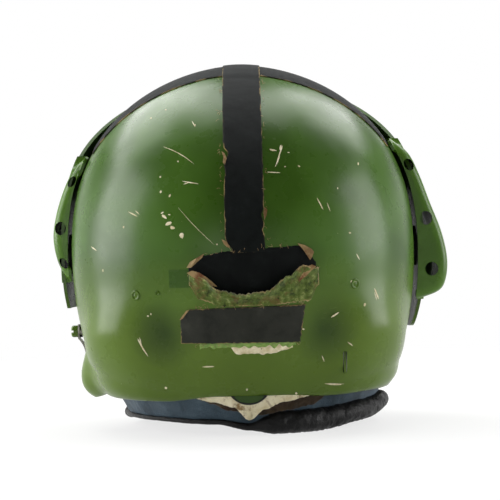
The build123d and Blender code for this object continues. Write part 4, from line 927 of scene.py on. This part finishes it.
def skirtPoint(turn, share):
    # a point of the band at a share of its height up from the roll
    reach, height, radius = rollSection(turn)
    low = (reach + skirtSizes["seat"], height + radius * skirtSizes["over"])
    middle, top = ((rimReach(turn, z), z) for z in (form["rim"], skirtSizes["top"]))
    if share < skirtSizes["rimShare"]:
        start, end, part = low, middle, share / skirtSizes["rimShare"]
    else:
        start, end, part = middle, top, (share - skirtSizes["rimShare"]) / (1 - skirtSizes["rimShare"])
    out, up = (a + (b - a) * part for a, b in zip(start, end))
    fold = wobble(turn * 0.16, share * 1.4, 2.0) * 1.1 + wobble(turn * 0.6, share * 3, 5.0) * 0.4
    return roundPoint(out - skirtSizes["back"] + fold * (1 - share) * 0.8, radians(turn), up)


skirtTurns = spread(rollSizes["start"], rollSizes["end"], skirtSizes["columns"])
skirtRows = gridRows(skirtPoint, skirtTurns, skirtSizes["rows"])
skirtAim = Vector((0.0, 0.0, 15.0))
skirtShape = sheetShape(skirtRows, level(-skirtSizes["thick"]), level(0.0), skirtAim)
skirt = pieceFrom("neckSkirt", skirtShape, "grey_leather", "neck_skirt")

# Torn cotton lining that hangs below the rim, with a pointed fold
liningSizes = {"turns": (-27, 22), "point": -1.0, "columns": 130, "rows": 26, "out": 0.9, "thick": 0.8}
liningLow = ((-27.0, 25.5), (-14.0, 21.5), (-7.0, 17.0), (-1.0, 10.0), (5.0, 19.0), (12.0, 22.5),
             (22.0, 26.0))


def hangReach(turn, z):
    # reach of the straight line from the rim to the roll, at an angle in degrees and a height
    reach, height, radius = rollSection(turn)
    bottom = height + radius * skirtSizes["over"]
    top = rimReach(turn, form["rim"])
    return top + (reach + skirtSizes["seat"] - top) * min(1.0, (form["rim"] - z) / (form["rim"] - bottom))


def liningPoint(turn, share):
    low = alongShares(liningLow, turn) + ragged(turn, 0.8, 41.0, 0.5)
    z = low + (form["rim"] + 3.0 - low) * share
    fold = 1.3 * hump(turn, liningSizes["point"], 2.2) + 0.7 * wobble(turn * 0.5, share * 2, 6.0)
    out = liningSizes["out"] + max(-0.3, fold) * (1.1 - share) if z < form["rim"] else 0.2
    return roundPoint(hangReach(turn, z) + out, radians(turn), z)


liningTurns = spread(*liningSizes["turns"], liningSizes["columns"])
liningRows = gridRows(liningPoint, liningTurns, liningSizes["rows"], 0.93)
liningShape = sheetShape(liningRows, level(0.0), level(liningSizes["thick"]), skirtAim)
lining = pieceFrom("tornLining", liningShape, "cream_cloth", "lining_cloth")

# Dark brown fold of the same lining, painted as the shade under the cream lining and stained, which hangs
# lower and lies between it and the skirt
foldSizes = {"turns": (-34, 19), "columns": 120, "rows": 18, "out": 0.15, "thick": 0.45}
foldLow = ((-34.0, 25.0), (-26.0, 18.0), (-16.0, 15.5), (-6.0, 13.0), (0.0, 15.0), (7.0, 16.5), (13.0, 21.0),
           (19.0, 25.5))


def foldPoint(turn, share):
    low = alongShares(foldLow, turn) + ragged(turn, 1.1, 44.0, 0.8)
    z = low + (form["rim"] + 2.5 - low) * share
    crumple = 0.9 * abs(wobble(turn * 0.35, share * 2.5, 9.0)) if z < form["rim"] - 1 else 0.0
    return roundPoint(hangReach(turn, z) + foldSizes["out"] + crumple, radians(turn), z)


foldTurns = spread(*foldSizes["turns"], foldSizes["columns"])
foldRows = gridRows(foldPoint, foldTurns, foldSizes["rows"], 0.9)
foldShape = sheetShape(foldRows, level(0.0), level(foldSizes["thick"]), skirtAim)
stainedShadedFold = pieceFrom("stainedShadedFold", foldShape, "cream_cloth", look="stained_and_shaded_cloth")
print("roll, skirt and lining")

# Pods over the pivots: thin smooth housings with rounded rear edges and three holes behind
podSizes = {"rear": 20.0, "front": -60.0, "round": 7.0, "wall": 2.0, "lip": 3.0, "columns": 64, "seat": 8.4,
            "seatEnd": 14.0, "steps": 22}
# For each: its name, node, side, reach out and height; its outline as shares of these, out and up from
# the axis; and its holes: shares out and up, half sizes across and along, and tilt in degrees
podSides = (
    ("podRight", "pod_right", -1, 23.4, 76.0,
     ((-0.62, 1.0), (-0.1, 0.86), (0.22, 0.66), (0.52, 0.4), (0.84, 0.13), (1.0, -0.12), (0.94, -0.32),
      (0.7, -0.43), (0.05, -0.5)),
     ((-0.1, 0.745, 3.4, 4.4, 28), (0.37, 0.25, 4.4, 4.8, 0), (0.5, -0.22, 4.6, 4.8, 0))),
    ("podLeft", "pod_left", 1, 12.8, 69.0,
     ((-1.0, 1.0), (-0.35, 0.9), (0.2, 0.73), (0.66, 0.51), (0.94, 0.3), (1.0, 0.13), (0.8, -0.07),
      (0.4, -0.22), (0.03, -0.29)),
     ((-0.12, 0.735, 2.5, 4.3, 31), (0.57, 0.265, 4.0, 4.7, 0), (0.43, -0.09, 2.6, 4.2, -35))))
# Shares of the pod's length from the rear, with what is left of its reach and its height there
podLengths = ((0.0, 1.0, 1.0), (0.3, 0.98, 0.98), (0.6, 0.85, 0.88), (0.85, 0.55, 0.7), (1.0, 0.2, 0.5))


def smoothThrough(points, count):
    # places along a smooth curve through points
    made = []
    for place in spread(0.0, len(points) - 1.0, count):
        n = min(int(place), len(points) - 2)
        share = place - n
        a, b, c, d = (points[min(max(k, 0), len(points) - 1)] for k in (n - 1, n, n + 1, n + 2))
        made.append(tuple(0.5 * (2 * q + (r - p) * share + (2 * p - 5 * q + 4 * r - s) * share ** 2
                                 + (3 * q - p - 3 * r + s) * share ** 3) for p, q, r, s in zip(a, b, c, d)))
    return made


def podLine(side, reach, top, shares, along, inset):
    # the pod's outline across and up from the axis, at a share of its length
    outScale, upScale = (alongShares([(stop[0], stop[n]) for stop in podLengths], along) for n in (1, 2))
    line = smoothThrough([(form["half"] + out * reach * outScale, up * top * upScale) for out, up in shares],
                         podSizes["columns"])
    middle = (sum(x for x, up in line) / len(line), sum(up for x, up in line) / len(line))
    made = []
    beside = zip(line, line[:1] + line[:-1], line[1:] + line[-1:])
    for (x, up), (beforeX, beforeUp), (afterX, afterUp) in beside:
        alongX, alongUp = afterX - beforeX, afterUp - beforeUp
        size = hypot(alongX, alongUp)
        normal = (alongUp / size, -alongX / size)
        if normal[0] * (x - middle[0]) + normal[1] * (up - middle[1]) > 0:
            normal = (-normal[0], -normal[1])
        made.append((x + normal[0] * inset, up + normal[1] * inset))
    return made


for name, node, side, reach, top, shares, holes in podSides:
    rows = []
    steps = [(1.0 - n / podSizes["steps"], 0.0) for n in range(podSizes["steps"] - 1)]
    steps += [(podSizes["round"] * (1 - sin(turn)) / (podSizes["rear"] - podSizes["front"]),
               podSizes["round"] * (1 - cos(turn))) for turn in spread(0.15, pi / 2, 7)]
    for along, inset in steps:
        y = podSizes["rear"] + (podSizes["front"] - podSizes["rear"]) * along
        line = podLine(side, reach, top, shares, along, inset)
        row = []
        for x, up in line:
            seat = halfWidth(y, form["pivot"] + up, podSizes["seat" if y < podSizes["seatEnd"] else "lip"])
            row.append(Vector((side * max(x, seat), y, form["pivot"] + up)))
        rows.append(row)
    last = rows[-1]
    for share in spread(0.0, 1.0, 9)[1:]:
        row = []
        for point in last:
            seat = halfWidth(podSizes["rear"], point.z, podSizes["lip"]) * side
            row.append(Vector((point.x + (seat - point.x) * share, podSizes["rear"], point.z)))
        rows.append(row)
    podShape = gridShape(rows)
    bmesh.ops.dissolve_degenerate(podShape, dist=0.02, edges=podShape.edges)
    podShape.normal_update()
    podObject = pieceFrom(name, podShape, "pod_paint", node)
    thick = podObject.modifiers.new("wall", "SOLIDIFY")
    thick.thickness, thick.offset = podSizes["wall"] * mm, -1
    applied(podObject)
    cutters = []
    for out, up, halfAcross, halfAlong, tilt in holes:
        x, z, lean = side * (form["half"] + out * reach), form["pivot"] + up * top, radians(tilt) * side
        outline = [(x + halfAcross * cos(turn) * cos(lean) - halfAlong * sin(turn) * sin(lean),
                    z + halfAcross * cos(turn) * sin(lean) + halfAlong * sin(turn) * cos(lean))
                   for turn in spread(0.0, 2 * pi, 33)[:-1]]
        cutters.append(prismCutter(outline, "Y", 0.0, 40.0))
    applied(podObject, *cutters, folded=True)
    smoothed(podObject, 38)
print("pods")

# Visor lens: one smooth curved sheet of polycarbonate with a nose cut-out and polished edges
lensSizes = {"half": 99.2, "top": 160.3, "low": 208.8, "nose": 11.0, "noseHalf": 30.0, "grow": 2.95,
             "thick": 1.9, "columns": 120, "rows": 70}


def lensPoint(x, up):
    reach = turnedReach(x, pi, lensSizes["grow"])
    low = lensSizes["low"] - lensSizes["nose"] * hump(x, 0.0, lensSizes["noseHalf"])
    angle = radians(lensSizes["top"] + (low - lensSizes["top"]) * up)
    return Vector((x, reach * cos(angle), form["pivot"] + reach * sin(angle)))


lensRows = gridRows(lensPoint, spread(-lensSizes["half"], lensSizes["half"], lensSizes["columns"]),
                    lensSizes["rows"])
lensShape = sheetShape(lensRows, level(0.0), level(lensSizes["thick"]), inside, 0.3)
pieceFrom("visorShield", lensShape, "lens", "visor_lens", body="visor", sharp=50)
print("visor lens")

# Fitting pads in the liner: stitched cushions, crowned between their seams
padSizes = {"grow": -19.9, "thick": 9.0, "edge": 2.0, "columns": 70, "rows": 60, "channel": 1.6}
padPlaces = (("crownPad", "crown_pad", 46.0, 66.0, 122.0, 3), ("browPad", "brow_pad", 58.0, 146.0, 164.0, 4),
             ("napePad", "nape_pad", 40.0, -24.0, 4.0, 3))


def swell(up, across):
    # 1 over most of a pad, falling round to 0 at its edges
    return sqrt(max(0.0, 1 - abs(2 * across - 1) ** 3)) * sqrt(max(0.0, 1 - abs(2 * up - 1) ** 3))


def padDepth(channels, up, across):
    # how far a pad stands inward, with its stitched channels
    full = swell(up, across)
    seam = abs(sin(pi * channels * across)) ** 0.35
    crease = 0.35 * wobble(across * 9, up * 9, 3.0)
    return -(padSizes["edge"] + (padSizes["thick"] - padSizes["edge"] - 0.6 + crease) * full
             - padSizes["channel"] * (1 - seam) * full)


for name, node, half, lowAngle, highAngle, channels in padPlaces:
    rows = [[turnedPoint(x, radians(angle), padSizes["grow"])
             for x in spread(-half, half, padSizes["columns"])]
            for angle in spread(lowAngle, highAngle, padSizes["rows"])]
    padShape = sheetShape(rows, partial(padDepth, channels), level(-0.1), inside, 0.3)
    pad = pieceFrom(name, padShape, "pad_leather", node, sharp=70)

# Cushions of the ear cups: a soft ring with gathered creases round its inner edge
sealSizes = {"x": 54.9, "deep": 14.6, "y": 4.0, "z": 77.0, "halfY": 26.6, "halfZ": 35.6, "across": 7.7,
             "columns": 180, "around": 28, "power": 2.6}


def roundPower(value, power):
    return (1 if value >= 0 else -1) * abs(value) ** (2 / power)


def ringPoint(turn):
    # a point of a cushion's middle line, a rounded oblong
    return Vector((0.0, sealSizes["halfY"] * roundPower(cos(turn), sealSizes["power"]),
                   sealSizes["halfZ"] * roundPower(sin(turn), sealSizes["power"])))


for name, node, side in (("earCushionLeft", "ear_seal_left", 1), ("earCushionRight", "ear_seal_right", -1)):
    rows = []
    for turn in spread(0.0, 2 * pi, sealSizes["columns"] + 1)[:-1]:
        middle = ringPoint(turn)
        along = (ringPoint(turn + 0.02) - middle).normalized()
        outward = Vector((0.0, along.z, -along.y))
        row = []
        for around in spread(0.0, 2 * pi, sealSizes["around"] + 1)[:-1]:
            out, deep = roundPower(cos(around), 2.8), roundPower(sin(around), 2.8)
            gather = 1 - 0.07 * max(0.0, -out) * (0.5 + 0.5 * sin(turn * 46)) - 0.04 * abs(
                wobble(turn * 5, around * 1.5, side * 3.0))
            place = middle + outward * sealSizes["across"] * out * gather
            row.append(Vector((side * (sealSizes["x"] + sealSizes["deep"] * (0.5 + 0.5 * deep * gather)),
                               sealSizes["y"] + place.y, sealSizes["z"] + place.z)))
        rows.append(row)
    cushionShape = gridShape(rows + rows[:1], closedRound=True)
    cushion = pieceFrom(name, cushionShape, "pad_leather", node)

# Foam spacers between the cups and the shell
spacerSizes = {"x": 92.5, "y": 4.0, "z": 77.0, "halfY": 20.0, "halfZ": 22.0, "cells": 40, "gap": 0.4}


def spacerPlace(across, up):
    # the place back and up at a share across and a share up
    return (spacerSizes["y"] + spacerSizes["halfY"] * (2 * across - 1),
            spacerSizes["z"] + spacerSizes["halfZ"] * (2 * up - 1))


def foamTop(up, across):
    room = halfWidth(*spacerPlace(across, up), -form["wall"] - spacerSizes["gap"]) - spacerSizes["x"]
    return room - 1.5 * (1 - swell(up, across))


for name, node, side in (("cupSpacerLeft", "cup_pad_left", 1), ("cupSpacerRight", "cup_pad_right", -1)):
    rows = gridRows(lambda across, up: Vector((side * spacerSizes["x"], *spacerPlace(across, up))),
                    spread(0.0, 1.0, spacerSizes["cells"]), spacerSizes["cells"])
    spacerShape = sheetShape(rows, level(0.0), foamTop, inside, 0.8)
    spacer = pieceFrom(name, spacerShape, "liner_foam", node, sharp=60)

# Chin strap: two lengths of ribbed webbing on one arc, and the soft pad that lies on it
strapSizes = {"y": -42.0, "half": 10.0, "low": 15.0, "top": 62.0, "thick": 1.6, "rows": 15, "columns": 130,
              "buckle": 26.0, "gap": 0.6, "hem": 0.25}
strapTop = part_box("chin_strap_left")[1][0] / mm - 0.1
strapRise = strapSizes["top"] - strapSizes["low"]
strapRadius = (strapTop ** 2 + strapRise ** 2) / (2 * strapRise)


def strapHeight(x):
    return strapSizes["low"] + strapRadius - sqrt(strapRadius ** 2 - x ** 2)


def ribbed(up, across):
    # thickness of the webbing: seven ribs between thinner hems
    hem = strapSizes["hem"] * (abs(up - 0.5) > 0.48)
    return strapSizes["thick"] - 0.12 * (0.5 + 0.5 * cos(up * 2 * pi * 7)) - hem


strapAim = Vector((0.0, strapSizes["y"], -500.0))
for name, node, start, end in (
        ("webbingRight", "chin_strap_right", -strapTop, strapSizes["buckle"] - strapSizes["gap"]),
        ("webbingLeft", "chin_strap_left", strapSizes["buckle"] + strapSizes["gap"], strapTop)):
    edges = strapSizes["y"] - strapSizes["half"], strapSizes["y"] + strapSizes["half"]
    rows = [[Vector((x, y, strapHeight(x))) for x in spread(start, end, strapSizes["columns"])]
            for y in spread(*edges, strapSizes["rows"])]
    webbingShape = sheetShape(rows, level(0.0), ribbed, strapAim, 0.1)
    webbing = pieceFrom(name, webbingShape, "webbing", node, sharp=60)

chinSizes = {"x": -8.0, "halfX": 19.6, "halfY": 15.4, "thick": 8.4, "edge": 1.6, "cells": 56}
rows = [[Vector((chinSizes["x"] + chinSizes["halfX"] * across, strapSizes["y"] + chinSizes["halfY"] * up,
                 strapHeight(chinSizes["x"] + chinSizes["halfX"] * across) + strapSizes["thick"] + 0.4))
         for up in spread(-1.0, 1.0, chinSizes["cells"])] for across in spread(-1.0, 1.0, chinSizes["cells"])]


def chinSwell(up, across):
    # height of the chin pad, with a groove along its middle
    full = swell(up, across)
    groove = 0.8 * hump(across, 0.5, 0.03)
    return chinSizes["edge"] + (chinSizes["thick"] - chinSizes["edge"] - groove) * full


chinShape = sheetShape(rows, level(0.0), chinSwell, strapAim, 0.5)
chinPad = pieceFrom("chinCushion", chinShape, "pad_leather", "chin_pad", sharp=70)
print("pads and straps")

# Camera at the photograph's angle: straight behind, level, a little rolled
cameraSizes = {"x": -5.0, "y": 1300.0, "z": 121.7, "lens": 131.8, "roll": -1.5}
eye = bpy.data.cameras.new("photoCamera")
eye.lens, eye.sensor_width, eye.clip_start = cameraSizes["lens"], 36.0, 0.05
camera = linked("photoCamera", eye)
camera.location = Vector((cameraSizes["x"], cameraSizes["y"], cameraSizes["z"])) * mm
look = Euler((pi / 2, 0, pi)).to_matrix() @ Matrix.Rotation(radians(cameraSizes["roll"]), 3, "Z")
camera.rotation_euler = look.to_euler()
bpy.context.scene.camera = camera

# Studio: a broad pale floor, a white surround and soft lights
studio = {"half": 9000.0, "cells": 12, "surround": 1.0, "world": 0.12, "nearWhite": 0.74, "near": 260.0,
          "far": 900.0, "bandLow": 0.2, "bandHigh": 0.32}
white = shade("FFFFFF")
floorShape = bmesh.new()
bmesh.ops.create_grid(floorShape, x_segments=studio["cells"], y_segments=studio["cells"],
                      size=studio["half"] * mm)
floorObject = objectFrom("floor", floorShape)
smoothed(floorObject)
floorPaper, add, floorShader, place = newMaterial("palePaper", Roughness=0.9, Specular_IOR_Level=0.1)
tone = add("TexNoise", {"Vector": place, "Scale": 1 / 900, "Detail": 1})
feed(floorShader, Base_Color=add("ValToRGB", (tone,), stops=((0.3, "DEDEDC"), (0.7, "E4E4E2"))))


def seenRays(add):
    # 1 for what the camera sees, also through glass or in a reflection
    camera, through, mirrored = (add("LightPath", output=kind) for kind in (
        "Is Camera Ray", "Is Transmission Ray", "Is Glossy Ray"))
    return add("Math", (add("Math", (camera, through), operation="MAXIMUM"), mirrored), operation="MAXIMUM")


# The paper is white away from the object, and keeps a soft shadow near it
away = add("VectorMath", (place,), "Value", operation="LENGTH")
whiteness = add("MapRange", (away, studio["near"], studio["far"], studio["nearWhite"], 1))
glowing = add("Math", (whiteness, seenRays(add)), operation="MULTIPLY")
glow = add("Emission", (white, studio["surround"]))
blend = add("MixShader", (glowing, floorShader.outputs[0], glow))
feed(floorPaper.node_tree.nodes["Material Output"], Surface=blend)
floorObject.data.materials.append(floorPaper)


def softLight(name, place, aim, width, height, power, tint="FFFFFF"):
    lamp = bpy.data.lights.new(name, "AREA")
    lamp.shape, lamp.size, lamp.size_y, lamp.energy = "RECTANGLE", width * mm, height * mm, power
    lamp.color = shade(tint)[:3]
    holder = linked(name, lamp)
    holder.location = Vector(place) * mm
    holder.rotation_euler = (Vector(aim) - Vector(place)).to_track_quat("-Z", "Y").to_euler()


middle = (0.0, 0.0, form["pivot"])
softLight("leftPanel", (1500, -60, 380), middle, 1000, 1500, 38)
softLight("rightPanel", (-1500, 20, 300), middle, 800, 1400, 25)
softLight("topPanel", (850, -800, 1350), middle, 1300, 900, 21)
softLight("topRightPanel", (-850, -800, 1350), middle, 900, 800, 14)
softLight("frontFill", (-300, -2200, 900), middle, 1400, 1000, 5)
softLight("rearFill", (500, 2300, 240), (0, 0, 60), 1200, 500, 4)
softLight("overheadPanel", (0, -500, 2200), middle, 1700, 1100, 34)
surround = bpy.data.worlds.new("studio")
bpy.context.scene.world = surround
surround.use_nodes = True
background = surround.node_tree.nodes["Background"]
add = partial(addNode, surround.node_tree)
lift = add("SeparateXYZ", (add("TexCoord", output="Generated"),), "Z")
band = add("MapRange", (lift, studio["bandLow"], studio["bandHigh"], 1, 0))
seen = add("Math", (seenRays(add), band), operation="MULTIPLY")
background.inputs["Color"].default_value = white
feed(background, Strength=add("MapRange", (seen, 0, 1, studio["world"], studio["surround"])))
bpy.context.scene.view_settings.view_transform = "Standard"
print("camera and studio")
